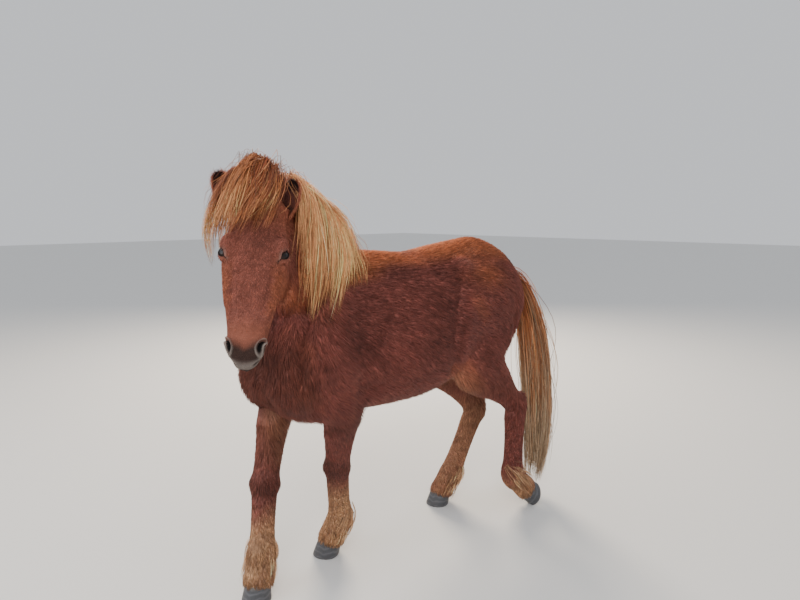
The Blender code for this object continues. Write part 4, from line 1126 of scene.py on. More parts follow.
def lie_of(points, normals, draw):
    """The way that the coat lies: back and down on the body, down the legs and down the face."""
    x, y, z = points.T
    head, leg = head_share(points)[:, None], leg_share(points)[:, None]
    _, left, out = head_coords(points).T
    flank = np.stack([-0.85 + 0 * x, 0 * x, -0.55 + 0.3 * steps(z, 1.15, 1.3)], axis=1)
    chest = np.stack([-0.15 + 0 * x, 0.4 * np.sign(y) * 0.5, -0.95 + 0 * x], axis=1)
    rump, throat, shin = np.array(((-0.45, 0.0, -0.9), (-0.55, 0.0, -0.80), (-0.15, 0.0, -1.0)))
    way = flank + (rump - flank) * (1.0 - steps(x, -0.60, -0.30))[:, None]
    way = way + (throat - way) * (steps(x + 0.4 * (z - 1.1), 0.18, 0.40) * steps(z, 0.85, 1.05))[:, None]
    way = way + (chest - way) * (steps(x, 0.42, 0.56) * (1.0 - steps(z, 0.95, 1.15)))[:, None]
    way = way * (1.0 - leg) + shin * leg
    jaw = steps(-out, 0.10, 0.16)[:, None]
    face = np.array(HEAD.down) * (1.0 - 0.4 * jaw) - np.array(HEAD.out) * 0.5 * jaw
    face = face + np.array(HEAD.left) * (0.25 * np.clip(left / 0.09, -1, 1))[:, None]
    way = way * (1.0 - head) + face * head
    way = unit(way - normals * (way * normals).sum(axis=1)[:, None])
    turn = 0.22 * ripple(points, 0.20, 11) + 0.10 * ripple(points, 0.05, 12)
    turn = turn + draw.normal(0, 0.13, len(points))
    turn = turn * (1.0 - 0.6 * head[:, 0])
    return way * np.cos(turn)[:, None] + np.cross(normals, way) * np.sin(turn)[:, None]


def hair_length(points):
    """How long the coat is: shaggy below, short on the face and the feet."""
    x, _, z = points.T
    down, _, out = head_coords(points).T
    head, leg = head_share(points), leg_share(points)
    under = 1.0 - steps(z, 0.66, 0.80)
    body = 0.036 + 0.020 * under * (1.0 - leg) + 0.008 * steps(x, 0.3, 0.5)
    low = 0.019 + 0.016 * steps(z, 0.30, 0.60) + 0.010 * (1.0 - steps(z, 0.10, 0.20))
    long = body * (1.0 - leg) + low * leg
    jaw = steps(-out, 0.11, 0.17) * (1.0 - steps(down, 0.20, 0.30))
    face = 0.010 + 0.018 * jaw - 0.0055 * steps(down, 0.20, 0.28) + 0.012 * (1.0 - steps(down, -0.20, -0.10))
    return long * (1.0 - head) + face * head


def bare(points):
    """1 where the coat leaves the skin bare: eyes, lips, nostrils."""
    none = np.zeros(len(points))
    for sign in (1, -1):
        ways, reach = eye_angles(points, sign)
        edge = np.abs(ways[:, 2]) - lid_half(ways[:, 1])
        lid = (1.0 - steps(reach, 0.027, 0.034)) * (ways[:, 0] > 0) * (1.0 - steps(edge, 0.25, 0.5))
        none = np.maximum(none, lid)
        none = np.maximum(none, 1.0 - steps(nostril_share(points, sign), 1.2, 2.4))
    for hoof in HOOVES.values():
        rest = points - np.array(hoof["coronet"])
        below = (rest @ np.array(hoof["top"]) < 0.002) * (np.linalg.norm(rest, axis=1) < 0.10)
        none = np.maximum(none, below)
    return none


def grow_coat(skin, settings, colours):
    """The short hair, in one piece for each part of the body."""
    draw = np.random.default_rng(21)
    field = Field(skin, ORIGIN_SHIFT)
    count = settings.tufts

    def weight(middles):
        head = head_share(middles)
        muzzle = steps(head_coords(middles)[:, 0], 0.24, 0.30)
        lush = 1.0 + 2.6 * head * (1.0 - 0.3 * muzzle) + 0.8 * leg_share(middles)
        return lush * (1.0 - bare(middles))

    places, normals, uvs = field.roots(count, weight, draw)
    way = lie_of(places, normals, draw)
    length = hair_length(places) * draw.uniform(0.65, 1.25, count)
    depth = np.maximum(coat_depth(places), 0.0012)
    rise = np.clip(depth * draw.uniform(0.55, 1.25, count) / length, 0.08, 0.62)
    tips = places + way * (length * np.sqrt(1 - rise ** 2))[:, None] + normals * (length * rise)[:, None]
    small, broad = clumps(places, 1.0, 31), clumps(places, 2.6, 35)
    tips = gathered(tips, small, settings.clumping)
    tips = gathered(tips, broad, settings.clumping * 0.35)
    tips[:, 2] -= 0.012 * (1.0 - steps(places[:, 2], 0.68, 0.78)) * (1.0 - leg_share(places)) + 0.006 * (
        steps(places[:, 0], 0.40, 0.55) * (1.0 - steps(places[:, 2], 0.75, 0.95)))
    tips[:, 2] = np.maximum(tips[:, 2], 0.004)
    width = 0.0011 + 0.075 * hair_length(places) * draw.uniform(0.75, 1.25, count)
    width = np.minimum(width, 0.0034) * 1.15
    spread = draw.normal(0.0, 0.20, count) * (1.0 + 0.4 * leg_share(places))
    tone = coat_tint(places, colours) * np.exp(spread)[:, None]
    tone = tone * np.exp(draw.normal(0.0, 0.12, small.max() + 1))[small][:, None]
    tone = tone * np.exp(draw.normal(0.0, 0.08, broad.max() + 1))[broad][:, None]
    warm = np.array((1.22, 1.10, 1.0))
    shades = np.stack([tone * 0.72, tone * warm * 1.08], axis=1)
    roots = places - normals * 0.0012
    paths, widths = np.stack([roots, tips], axis=1), np.stack([width, width * 0], axis=1)
    ups = np.stack([normals, normals], axis=1)
    for name, chosen in coat_groups(places).items():
        picks = np.flatnonzero(chosen)
        for part, some in enumerate(np.array_split(picks, max(1, math.ceil(len(picks) / TUFTS_A_PIECE)))):
            title = "coat_" + name + ("_%d" % (part + 1) if len(picks) > TUFTS_A_PIECE else "")
            piece = hair_mesh(title, paths[some], ups[some], widths[some], np.clip(shades[some], 0, 1),
                              uvs[some], finishes()["coat_hair"])
            placed(piece, "coat")


def coat_groups(places):
    """Which part of the body each root is on."""
    head = head_share(places) > 0.5
    leg = (places[:, 2] < 0.60) & ~head
    ahead = places[:, 0] > 0.05
    trunk_part = ~head & ~leg
    left = places[:, 1] > 0.0
    far = places[:, 0] < -0.22
    return {
        "head": head, "forelegs": leg & ahead, "hindlegs": leg & ~ahead,
        "shoulder_left": trunk_part & left & (places[:, 0] > 0.20),
        "shoulder_right": trunk_part & ~left & (places[:, 0] > 0.20),
        "barrel_left": trunk_part & left & ~far & (places[:, 0] <= 0.20),
        "barrel_right": trunk_part & ~left & ~far & (places[:, 0] <= 0.20),
        "quarter_left": trunk_part & left & far, "quarter_right": trunk_part & ~left & far,
    }


def clumps(places, scale, seed):
    """The number of the clump that each tuft is in: small ones on the head and the legs."""
    kind = np.where(head_share(places) > 0.5, 0, np.where(leg_share(places) > 0.5, 1, 2))
    size = np.array((0.006, 0.008, 0.012))[kind][:, None] * scale
    warped = places + 0.45 * size * np.stack([ripple(places, 0.05, seed + k) for k in range(3)], axis=1)
    cells = np.floor(warped / size).astype(np.int64) + 1000
    keys = ((kind * 4096 + cells[:, 0]) * 4096 + cells[:, 1]) * 4096 + cells[:, 2]
    return np.unique(keys, return_inverse=True)[1].ravel()


def gathered(tips, index, share):
    """Draws the tips of each clump together, as damp winter hair gathers."""
    number = np.bincount(index)
    middles = np.stack([np.bincount(index, tips[:, k]) / number for k in range(3)], axis=1)
    return tips + (middles[index] - tips) * share


# Long hair

def laid(points, lifts, tree):
    """A path moved out where it would pass under the surface, and the outward direction at each point."""
    placed_points, facing = [], []
    for point, lift in zip(points, lifts):
        near, normal, _, distance = tree.find_nearest(point)
        if lift is not None and ((point - near).dot(normal) < 0 or distance < lift):
            point = near + normal * lift
        placed_points.append(point)
        facing.append(normal)
    return placed_points, facing


def guide(points, facing, count, cut=1.0, wave=None):
    """A smooth path and its outward directions as arrays, at even steps."""
    rows = np.array(through([(*p, *f) for p, f in zip(points, facing)], 6))
    gaps = np.linalg.norm(np.diff(rows[:, :3], axis=0), axis=1)
    reach = np.concatenate([[0.0], np.cumsum(gaps)])
    wanted = np.linspace(0, reach[-1] * cut, count)
    rows = np.stack([np.interp(wanted, reach, rows[:, k]) for k in range(6)], axis=1)
    if wave:
        phase, pace, size = wave
        shares = np.linspace(0, 1, count)
        sides = unit(np.cross(np.gradient(rows[:, :3], axis=0), rows[:, 3:]))
        swing = (np.sin(phase + pace * shares) - math.sin(phase)) * size * shares
        rows[:, :3] += sides * swing[:, None]
    return rows


# The key locks, each from its rise to its tip, in millimetres
FORELOCK_KEYS = (
    ((702, 69, 1593), (728, 59, 1570), (755, 46, 1507), (792, 26, 1431), (824, 10, 1345)),
    ((686, 62, 1608), (706, 50, 1593), (742, 40, 1522), (803, 63, 1435), (830, 50, 1335)),
    ((677, 67, 1621), (693, 52, 1611), (730, 42, 1540), (783, 73, 1456), (819, 94, 1369)),
    ((664, 71, 1624), (676, 66, 1609), (705, 62, 1547), (758, 84, 1468), (796, 98, 1400)),
    ((650, 80, 1613), (660, 84, 1599), (685, 82, 1540), (735, 100, 1470), (792, 100, 1382)),
    ((624, 66, 1606), (632, 80, 1583), (660, 102, 1527), (708, 118, 1468), (768, 122, 1388)),
    ((601, 64, 1591), (600, 80, 1564), (615, 85, 1517), (658, 112, 1463), (724, 152, 1385)),
)
MANE_KEYS = (
    ((548, 30, 1560), (520, 60, 1534), (525, 92, 1451), (556, 132, 1350), (566, 128, 1254)),
    ((502, -5, 1571), (470, 35, 1529), (479, 78, 1423), (530, 150, 1275), (547, 147, 1081)),
    ((489, -10, 1570), (450, 37, 1508), (440, 82, 1388), (482, 148, 1238), (535, 174, 1050)),
    ((451, -35, 1551), (401, 34, 1477), (385, 80, 1357), (441, 157, 1214), (502, 192, 1055)),
    ((411, -44, 1518), (353, 36, 1437), (331, 83, 1334), (383, 158, 1213), (445, 198, 1098)),
    ((381, -17, 1470), (323, 63, 1393), (305, 98, 1307), (328, 142, 1226), (369, 184, 1146)),
    ((327, -2, 1406), (283, 61, 1328), (278, 109, 1274), (266, 139, 1230), (259, 147, 1189)),
)
BROW_KEYS = (
    ((700, 30, 1585), (730, 10, 1560), (770, -5, 1500), (800, -10, 1430), (815, -12, 1380)),
    ((690, -5, 1580), (718, -22, 1560), (760, -35, 1510), (795, -35, 1450), (815, -35, 1400)),
    ((680, -35, 1565), (705, -50, 1545), (745, -60, 1500), (780, -62, 1440), (800, -60, 1390)),
)
FAR_KEYS = (
    ((680, -83, 1540), (711, -116, 1500), (745, -130, 1441), (772, -127, 1344), (768, -104, 1235)),
    ((600, -75, 1560), (610, -130, 1500), (640, -145, 1420), (670, -135, 1330), (680, -115, 1240)),
)
WILD_KEYS = (
    ((451, 0, 1540), (385, 50, 1480), (345, 60, 1475), (305, 70, 1455), (290, 80, 1400)),
    ((420, -10, 1510), (350, 40, 1450), (310, 55, 1430), (275, 85, 1385), (270, 100, 1330)),
    ((500, 10, 1575), (470, 50, 1560), (430, 70, 1520), (395, 80, 1450), (380, 100, 1390)),
)


def in_metres(key):
    """The place of a key that is written in millimetres."""
    return Vector(size / 1000 for size in key)


def past_ears(point):
    """The point, moved aside where it would pass through an ear."""
    for sign in (1, -1):
        base, tip = ear_ends(sign)
        axis = tip - base
        share = min(max((point - base).dot(axis) / axis.length_squared, -0.05), 1.0)
        near = base + axis * share
        way = point - near
        ahead = way.dot(HEAD.out)
        if way.length < 0.046:
            way = way - HEAD.out * max(ahead, 0.0) - HEAD.out * 0.015
            point = near + way.normalized() * 0.046
    return point


def keyed_guides(roots, keys, number, cuts, lift, tree, draw, shake=0.006):
    """Guides that fill in between the key locks, each rising from its root."""
    near = 0.006
    guides = []
    for k in range(number):
        place = (k + draw.random()) / number * (len(keys) - 1)
        low = min(int(place), len(keys) - 2)
        path = [in_metres(a).lerp(in_metres(b), place - low) for a, b in zip(keys[low], keys[low + 1])]
        root = Vector(roots[low]).lerp(Vector(roots[low + 1]), place - low)
        middle = path[2]
        drift = Vector([draw.uniform(-shake, shake) for _ in range(3)])
        path = [root + drift * 0.8] + [p + drift * (0.4 + 0.4 * j) for j, p in enumerate(path)]
        normal = tree.find_nearest(middle)[1]
        path = path[:1] + [past_ears(p + normal * lift) for p in path[1:]]
        points, facing = laid(path, (None, near, near * 1.3, near * 1.3, near * 1.3, near), tree)
        wave = (draw.uniform(0, 6.28), draw.uniform(3.0, 6.5), draw.uniform(0.003, 0.012))
        guides.append(guide(points, facing, GUIDE_POINTS, draw.uniform(*cuts), wave))
    return guides


def strands(guides, number, spread, deep, draw, loose=0.006, profile=(0.8, 1.0, 1.0, 0.35)):
    """Paths and outward directions of the hairs along each guide, their wisps and how high they lie."""
    guides = np.repeat(np.array(guides), number, axis=0)
    count, length = guides.shape[:2]
    shares = np.linspace(0, 1, length)
    shape = np.interp(shares, np.linspace(0, 1, len(profile)), profile)[None, :, None]
    paths, ups = guides[:, :, :3], unit(guides[:, :, 3:])
    along = unit(np.gradient(paths, axis=1))
    sides = unit(np.cross(along, ups))
    wisp = draw.integers(0, 5, (count, 1, 1)) - 2.0
    own = np.clip(draw.normal(0, 0.28, (count, 1, 1)), -0.8, 0.8)
    narrowing = 1.0 - 0.75 * shares[None, :, None] ** 1.5
    aside = (wisp * 0.42 + own * narrowing) * spread
    outward = draw.random((count, 1, 1)) * deep
    phase, pace = draw.uniform(0, 6.28, (count, 1, 1)), draw.uniform(2.0, 7.0, (count, 1, 1))
    wave = np.sin(phase + pace * shares[None, :, None]) - np.sin(phase)
    other = np.cos(phase * 1.7 + pace * 0.8 * shares[None, :, None]) - np.cos(phase * 1.7)
    free = loose * (1.0 + 3.0 * (draw.random((count, 1, 1)) > 0.94))
    paths = paths + sides * (aside * shape + wave * free) + ups * (outward * shape + other * free * 0.5)
    reach = draw.uniform(0.78, 1.04, count)
    places = np.clip(shares[None] * reach[:, None], 0, 1) * (length - 1)
    low = np.minimum(places.astype(int), length - 2)
    part = (places - low)[:, :, None]
    rows = np.arange(count)[:, None]
    even = paths[rows, low] * (1 - part) + paths[rows, low + 1] * part
    owner = np.repeat(np.arange(count // number), number) * 5 + wisp.ravel().astype(int) + 2
    return even, ups, owner, outward.ravel() / deep


def map_places(obj, tree, points):
    """Where each root is on the unwrap of the piece that it grows from."""
    data = obj.data
    uvs = np.empty(len(data.loops) * 2, np.float32)
    data.uv_layers["OFBake"].data.foreach_get("uv", uvs)
    faces = [data.polygons[tree.find_nearest(Vector(point))[2]] for point in points]
    return np.array([uvs.reshape(-1, 2)[list(face.loop_indices)].mean(axis=0) for face in faces])


def kept_in(paths):
    """The paths, held just over the floor and near the box of the solids."""
    low = np.array(CAD_BOX[0]) - np.array(ORIGIN_SHIFT) - np.array((0.042, 0.015, -0.008))
    high = np.array(CAD_BOX[1]) - np.array(ORIGIN_SHIFT) + np.array((0.042, 0.015, 0.048))
    return np.clip(paths, low, high)


def long_hair(name, ground, guides, number, spread, deep, width, tones, slot, nodes, seed, **more):
    """One piece of long hair. The tones run from the root to the tip."""
    draw = np.random.default_rng(seed)
    number = number
    paths, ups, owner, height = strands(guides, number, spread, deep, draw, **more)
    paths = kept_in(paths)
    count, length = paths.shape[:2]
    shares = np.linspace(0, 1, length)
    marks = np.linspace(0, 1, len(tones))
    rows = np.stack([np.interp(shares, marks, [tone[k] for tone in tones]) for k in range(3)], axis=1)
    # Strands that lie deeper in the hair are darker and those on top lighter: painted shade inside the hair
    # and painted highlight on it, with a random tone for each lock and strand.
    lock_tone = np.exp(draw.normal(0.0, 0.36, owner.max() + 1))[owner] * (0.50 + 0.70 * height)
    tone = rows[None] * (lock_tone * np.exp(draw.normal(0.0, 0.24, count)))[:, None, None]
    rust = (draw.random(count) ** 2.5 * 0.8)[:, None, None]
    tone = tone * (1.0 - rust) + tone * np.array((0.80, 0.58, 0.42)) * rust
    taper = np.interp(shares, (0, 0.3, 0.8, 1), (0.8, 1, 0.8, 0.15))
    widths = width * draw.uniform(0.7, 1.25, count)[:, None] * taper[None]
    piece = hair_mesh(name, paths, ups, widths, np.clip(tone, 0, 1), map_places(*ground, paths[:, 0]),
                      finishes()["long_hair"])
    return placed(piece, slot, *nodes)


def mane_guides(tree, number, left, reach, lift, draw):
    """Guides of one layer of the mane, from the withers to the poll."""
    rings = neck()
    tips = through([(0.27, 0.145, 1.21), (0.35, 0.190, 1.13), (0.44, 0.205, 1.07), (0.51, 0.205, 1.06),
                    (0.575, 0.200, 1.16)], 8)
    guides = []
    for k in range(number):
        share = (k + 0.5) / number
        place = 8.0 + share * (len(rings) - 9.2)
        low = int(place)
        crest = rings[low][7].lerp(rings[min(low + 1, len(rings) - 1)][7], place - low)
        middle = sum(rings[low], Vector()) / len(rings[low])
        rise = (crest - middle).normalized()
        end = Vector(tips[int(share * (len(tips) - 1))])
        end.y *= 1.0 if left > 0 else -0.95
        out = Vector((end.x - crest.x, end.y - crest.y, 0)).normalized()
        over = crest + out * 0.075 - UP * 0.035
        end = over.lerp(end, reach * draw.uniform(0.88, 1.08)) + Vector((draw.uniform(-0.025, 0.025), 0, 0))
        shake = Vector([draw.uniform(-0.006, 0.006) for _ in range(3)])
        root = crest - rise * 0.012 - out * 0.020 * draw.uniform(0.2, 1.0)
        top = crest + rise * (lift + draw.uniform(-0.006, 0.012)) + shake
        path = [root, top, over + shake + rise * lift * 0.4, over.lerp(end, 0.35) + out * 0.030 + shake,
                over.lerp(end, 0.70) + out * 0.020, end]
        points, facing = laid(path, (None, 0.006, 0.012, 0.012, 0.012, 0.010), tree)
        guides.append(guide(points, facing, GUIDE_POINTS))
    return guides


TAIL_SPINE = (
    (-0.630, 0.125, 1.170, 0.022), (-0.690, 0.142, 1.145, 0.033), (-0.735, 0.162, 1.080, 0.043),
    (-0.770, 0.186, 0.960, 0.050), (-0.798, 0.208, 0.790, 0.055), (-0.812, 0.224, 0.580, 0.053),
    (-0.820, 0.232, 0.390, 0.046), (-0.817, 0.228, 0.210, 0.036), (-0.808, 0.220, 0.060, 0.020))


def tail_guides(number, draw):
    """Guides laid along the dock and round it, falling almost to the ground."""
    spine = through(TAIL_SPINE, 2)
    centres = [Vector(row[:3]) for row in spine]
    guides = []
    for k in range(number):
        turn = 2.0 * math.pi * (k * 0.381966 % 1.0)
        deep = math.sqrt(draw.uniform(0.25, 1.0))
        first = draw.uniform(0.6, 8.5)
        last = min(first + draw.uniform(7.0, 10.5), 15.99)
        points, facing = [], []
        for step in range(6):
            place = first + (last - first) * step / 5
            low = int(place)
            centre = centres[low].lerp(centres[min(low + 1, 16)], place - low)
            out = Vector((math.cos(turn) * 0.9, math.sin(turn), 0))
            share = (0.45, 0.95, 1.1, 1.15, 1.2, 1.4)[step]
            points.append(centre + out * float(spine[low][3]) * share * deep)
            facing.append(out)
        guides.append(guide(points, facing, TAIL_POINTS))
    return guides


def feather_guides(hoof, fetlock, tree, number, draw):
    """Guides of the long hair round the back of one fetlock and pastern."""
    guides = []
    along = (hoof["coronet"] - fetlock).normalized()
    for _ in range(number):
        angle = math.radians(180 + draw.uniform(-125, 125))
        out = hoof["toe"] * math.cos(angle) + hoof["side"] * math.sin(angle)
        out = (out - along * out.dot(along)).normalized()
        start = fetlock + along * draw.uniform(-0.085, 0.030) + out * 0.018
        long = draw.uniform(0.7, 1.0)
        path = [start, start + along * 0.040 * long + out * 0.030, start + along * 0.080 * long + out * 0.042,
                start + along * 0.115 * long + out * 0.042]
        path = [Vector((p.x, p.y, max(p.z, 0.012))) for p in path]
        points, _ = laid(path, (None, 0.003, 0.004, 0.005), tree)
        guides.append(guide(points, [out] * 4, FEATHER_POINTS))
    return guides


# Eyes, hooves and ears

def make_eye(sign, side, settings):
    """An eyeball with a dark iris and a long pupil."""
    bpy.ops.object.select_all(action="DESELECT")
    bpy.ops.mesh.primitive_uv_sphere_add(segments=40, ring_count=24, radius=EYE_RADIUS, location=(0, 0, 0))
    eye = bpy.context.object
    eye.name = "eyeball_" + side
    gaze, long_way, cross_way = eye_axes(sign)
    turn = Matrix((long_way, cross_way, gaze)).transposed().to_4x4()
    eye.data.transform(Matrix.Translation(eye_place(sign)) @ turn)
    only(eye)
    bpy.ops.object.shade_smooth()
    points = vertex_array(eye)
    ways, _ = eye_angles(points, sign)
    iris = 1.0 - steps(np.hypot(ways[:, 1], ways[:, 2]), 0.66, 0.76)
    pupil = 1.0 - steps(np.hypot(ways[:, 1] / 0.34, ways[:, 2] / 0.19), 0.9, 1.1)
    tone = np.tile(np.array((0.030, 0.020, 0.016)), (len(points), 1))
    tone = mixed(tone, settings.iris, iris)
    tone = mixed(tone, (0.002, 0.002, 0.003), pupil)
    paint(eye.data, tone)
    eye.data.uv_layers[0].name = "OFBake"
    eye.data.materials.append(finishes()["eye_surface"])
    return placed(eye, "eye_gloss", "eye_" + side)


def hoof_shell(place, corner, settings):
    """A hoof with its growth rings, flat on the ground."""
    around, rows = 56, 30
    rings = []
    for step in range(rows + 1):
        height = step / rows
        share, back = np.interp(height, (0, 0.04, 0.45, 1), (0.95, 1.0, 0.93, 0.83)), -0.020 * height
        share = share * (1.0 + 0.006 * math.sin(height * 38.0) * min(1.0, height * 6) * (1.0 - 0.4 * height))
        points = []
        for k in range(around):
            angle = 2.0 * math.pi * k / around
            forward = (0.062 if math.cos(angle) > 0 else 0.050) * math.cos(angle) * share + back
            across = 0.056 * math.sin(angle) * share * (1.0 - 0.12 * math.cos(angle) ** 2)
            base = place["centre"] + place["toe"] * forward + place["side"] * across
            top = (place["coronet"] - base).dot(place["top"]) / place["up"].dot(place["top"])
            points.append(base + place["up"] * top * height)
        rings.append(points)
    mesh = loft(rings)
    for vertex in mesh.verts:
        vertex.co.z = max(vertex.co.z, 0.0)
    hoof = join_meshes([mesh], "horn_" + corner)
    points = vertex_array(hoof)
    height = (points - np.array(place["centre"])) @ np.array(place["up"]) / 0.07
    tone = np.tile(np.array(settings.horn), (len(points), 1))
    bands = steps(np.sin(height * 21 + ripple(points, 0.03, 5)), 0.2, 1.0)
    tone = mixed(tone, np.array(settings.horn) * 2.2, 0.5 * bands)
    tone = mixed(tone, (0.16, 0.13, 0.10), 0.6 * steps(height, 0.75, 1.0))
    tone = mixed(tone, (0.10, 0.085, 0.07), 0.5 * (1.0 - steps(height, 0.0, 0.10)))
    paint(hoof.data, tone)
    hoof.data.materials.append(finishes()["horn"])
    unwrapped(hoof)
    bpy.ops.object.shade_smooth()
    return placed(hoof, "hoof_horn", "hoof_" + corner)


def ear_ends(sign):
    """The base and the tip of one ear. The right one is turned further out."""
    if sign > 0:
        return HEAD.at(-0.150, 0.076, -0.092), HEAD.at(-0.288, 0.104, -0.068)
    return HEAD.at(-0.158, -0.086, -0.102), HEAD.at(-0.304, -0.150, -0.074)


def ear_shell(sign, side, colours):
    """A cupped ear, brown outside, dark inside and pale along its rim, with its short hair."""
    base, tip = ear_ends(sign)
    axis = (tip - base).normalized()
    opening = HEAD.out + HEAD.left * sign * 0.10
    opening = (opening - axis * opening.dot(axis)).normalized()
    across = axis.cross(opening).normalized()
    length, wall, around = (tip - base).length, 0.0045, 24
    rows = through([(0.0, 0.024, 0.2), (0.16, 0.030, 0.7), (0.34, 0.036, 1.0), (0.54, 0.0375, 1.0),
                    (0.72, 0.035, 1.0), (0.86, 0.028, 0.95), (0.95, 0.018, 0.8), (0.99, 0.007, 0.3)], 4)
    rings = []
    for along, half, cup in rows:
        centre = base + axis * length * along
        outer, inner = [], []
        for k in range(around + 1):
            angle = math.radians(-105 + 210 * k / around)
            way = across * math.sin(angle) - opening * math.cos(angle) * 0.85
            edge = 1.0 - 0.6 * abs(2.0 * k / around - 1.0) ** 4
            outer.append(centre + way * half)
            depth = max(half - wall * edge, 0.001)
            flat = across * math.sin(angle) * depth + opening * (0.25 * half)
            inner.append((centre + way * depth).lerp(centre + flat, 1.0 - min(max(cup, 0.0), 1.0)))
        rings.append(outer + inner[::-1])
    ear = join_meshes([loft(rings, fan=False)], "ear_shell_" + side)
    modified(ear, "SMOOTH", factor=0.4, iterations=2)

    def within(places):
        """How far along the ear, from its middle line and to its front the places are."""
        rest = places - np.array(base)
        along = rest @ np.array(axis) / length
        half = np.maximum(np.interp(along, [row[0] for row in rows], [row[1] for row in rows]), 0.004)
        front = rest @ np.array(opening)
        return along, np.hypot(rest @ np.array(across), front / 0.85) / half, front / half

    points = vertex_array(ear)
    along, reach, front = within(points)
    inside = (1.0 - steps(reach, 0.82, 0.96)) * steps(along, 0.05, 0.3)
    rim = steps(front, -0.05, 0.20) * steps(reach, 0.70, 0.90)
    tone = np.tile(np.array(colours["body"]) * 1.1, (len(points), 1))
    tone = mixed(tone, colours["orange_and_backlight"], 0.35 * (1.0 - steps(along, 0.2, 0.8)))
    # Painted shade inside the cup of the ear.
    tone = mixed(tone, colours["pits"], 0.95 * inside)
    tone = mixed(tone, colours["orange_and_backlight"], 0.50 * rim * (1.0 - inside))
    paint(ear.data, tone)
    ear.data.materials.append(finishes()["coat_skin"])
    unwrapped(ear)
    bpy.ops.object.shade_smooth()
    field = Field(ear)
    draw = np.random.default_rng(40 + sign)
    count = 5200
    places, normals, uvs = field.roots(count, lambda middles: np.ones(len(middles)), draw)
    share, radial, front = within(places)
    inner = (1.0 - steps(radial, 0.84, 0.94)) * steps(share, 0.05, 0.3)
    rim = steps(front, -0.10, 0.15) * steps(radial, 0.70, 0.90)
    way = np.array(axis) + normals * draw.uniform(0.10, 0.40, count)[:, None]
    way = way + draw.normal(0, 0.16, (count, 3))
    way = unit(way * (1.0 - 0.45 * rim)[:, None] + np.array(opening) * 0.6 * (0.7 * rim)[:, None])
    long = (0.008 + 0.010 * rim + 0.004 * inner) * draw.uniform(0.6, 1.3, count)
    tips = places + way * long[:, None]
    tone = np.tile(np.array(colours["body"]) * 1.15, (count, 1))
    tone = mixed(tone, colours["orange_and_backlight"], 0.35 * (1.0 - steps(share, 0.2, 0.8)))
    # The hair inside the ear is darkened as painted shade in its cup.
    tone = mixed(tone, np.array(colours["knees"]) * 0.45, 0.92 * inner)
    tone = mixed(tone, colours["orange_and_backlight"], 0.55 * rim * (1.0 - 0.6 * inner))
    tone = tone * draw.normal(1.0, 0.16, count)[:, None]
    wider = 1.0
    widths = np.stack([draw.uniform(0.0010, 0.0019, count) * wider, np.zeros(count)], axis=1)
    fur = hair_mesh("ear_fur_" + side, np.stack([places - normals * 0.001, tips], axis=1),
                    np.stack([normals, normals], axis=1), widths,
                    np.clip(np.stack([tone * 0.75, tone * 1.2], axis=1), 0, 1), uvs, finishes()["coat_hair"])
    placed(ear, "coat", "ear_" + side)
    placed(fur, "coat")


def make_dock(colours):
    """The core of the tail, under its long hair."""
    spine = through(TAIL_SPINE, 3)
    rings = []
    side = Vector((0.3, 1, 0)).normalized()
    centres = [Vector(row[:3]) for row in spine]
    for k, row in enumerate(spine[:20]):
        along = (centres[k + 1] - centres[max(k - 1, 0)]).normalized()
        across = (side - along * side.dot(along)).normalized()
        size = row[3] * (0.80 - 0.025 * k)
        rings.append(ring(centres[k], across, across.cross(along), size, size, size, 2.0, 2.0, 16))
    dock = join_meshes([loft(rings)], "dock")
    points = vertex_array(dock)
    paint(dock.data, mixed(np.tile(np.array(colours["root"]) * 0.8, (len(points), 1)), colours["shade"],
                           1.0 - steps(points[:, 2], 0.6, 1.0)))
    dock.data.materials.append(finishes()["coat_skin"])
    unwrapped(dock)
    bpy.ops.object.shade_smooth()
    return placed(dock, "mane_hair")


# Stage

def area_light(name, place, target, size, power, colour):
    """A round soft light that faces its target."""
    data = bpy.data.lights.new(name, "AREA")
    data.shape = "DISK"
    data.size = size
    data.energy = power
    data.color = colour
    lamp = bpy.data.objects.new(name, data)
    lamp.location = place
    lamp.rotation_euler = (Vector(target) - Vector(place)).to_track_quat("-Z", "Y").to_euler()
    bpy.context.scene.collection.objects.link(lamp)
    return lamp


def make_stage(settings):
    """Floor, light and the camera of the photograph."""
    bpy.ops.object.select_all(action="DESELECT")
    bpy.ops.mesh.primitive_plane_add(size=60.0, location=(0, 0, -0.0005))
    floor = bpy.context.object
    floor.name = "floor"
    material = bpy.data.materials.new("floor_pale")
    material.use_nodes = True
    shader = material.node_tree.nodes["Principled BSDF"]
    shader.inputs["Base Color"].default_value = (*settings.floor_colour, 1.0)
    shader.inputs["Roughness"].default_value = 0.9
    floor.data.materials.append(material)
    world = bpy.data.worlds.new("studio")
    world.use_nodes = True
    world.node_tree.nodes["Background"].inputs["Color"].default_value = (0.86, 0.88, 0.92, 1.0)
    world.node_tree.nodes["Background"].inputs["Strength"].default_value = settings.sky_strength
    bpy.context.scene.world = world
    area_light("key", (3.4, 3.0, 4.2), (0, 0, 0.8), 3.0, 150.0, (1.0, 0.97, 0.93))
    area_light("fill", (4.2, -1.0, 2.4), (0.2, 0, 0.8), 3.5, 70.0, (0.93, 0.96, 1.0))
    area_light("rim", (-3.2, -3.4, 3.8), (0, 0, 1.0), 2.5, 460.0, (1.0, 0.84, 0.66))
    data = bpy.data.cameras.new("camera")
    data.lens = 26.1
    data.sensor_width = 36.0
    camera = bpy.data.objects.new("camera", data)
    pitch = math.radians(settings.camera_pitch)
    look = Vector((-0.7016 * math.cos(pitch), -0.7126 * math.cos(pitch), -math.sin(pitch)))
    camera.location = settings.camera_place
    camera.rotation_euler = look.to_track_quat("-Z", "Y").to_euler()
    bpy.context.scene.collection.objects.link(camera)
    bpy.context.scene.camera = camera


# The add-on

def colour_prop(name, text, value):
    """A colour that the user can change."""
    return FloatVectorProperty(name=name, description=text, subtype="COLOR", size=3, min=0.0, max=1.0,
                               default=value)


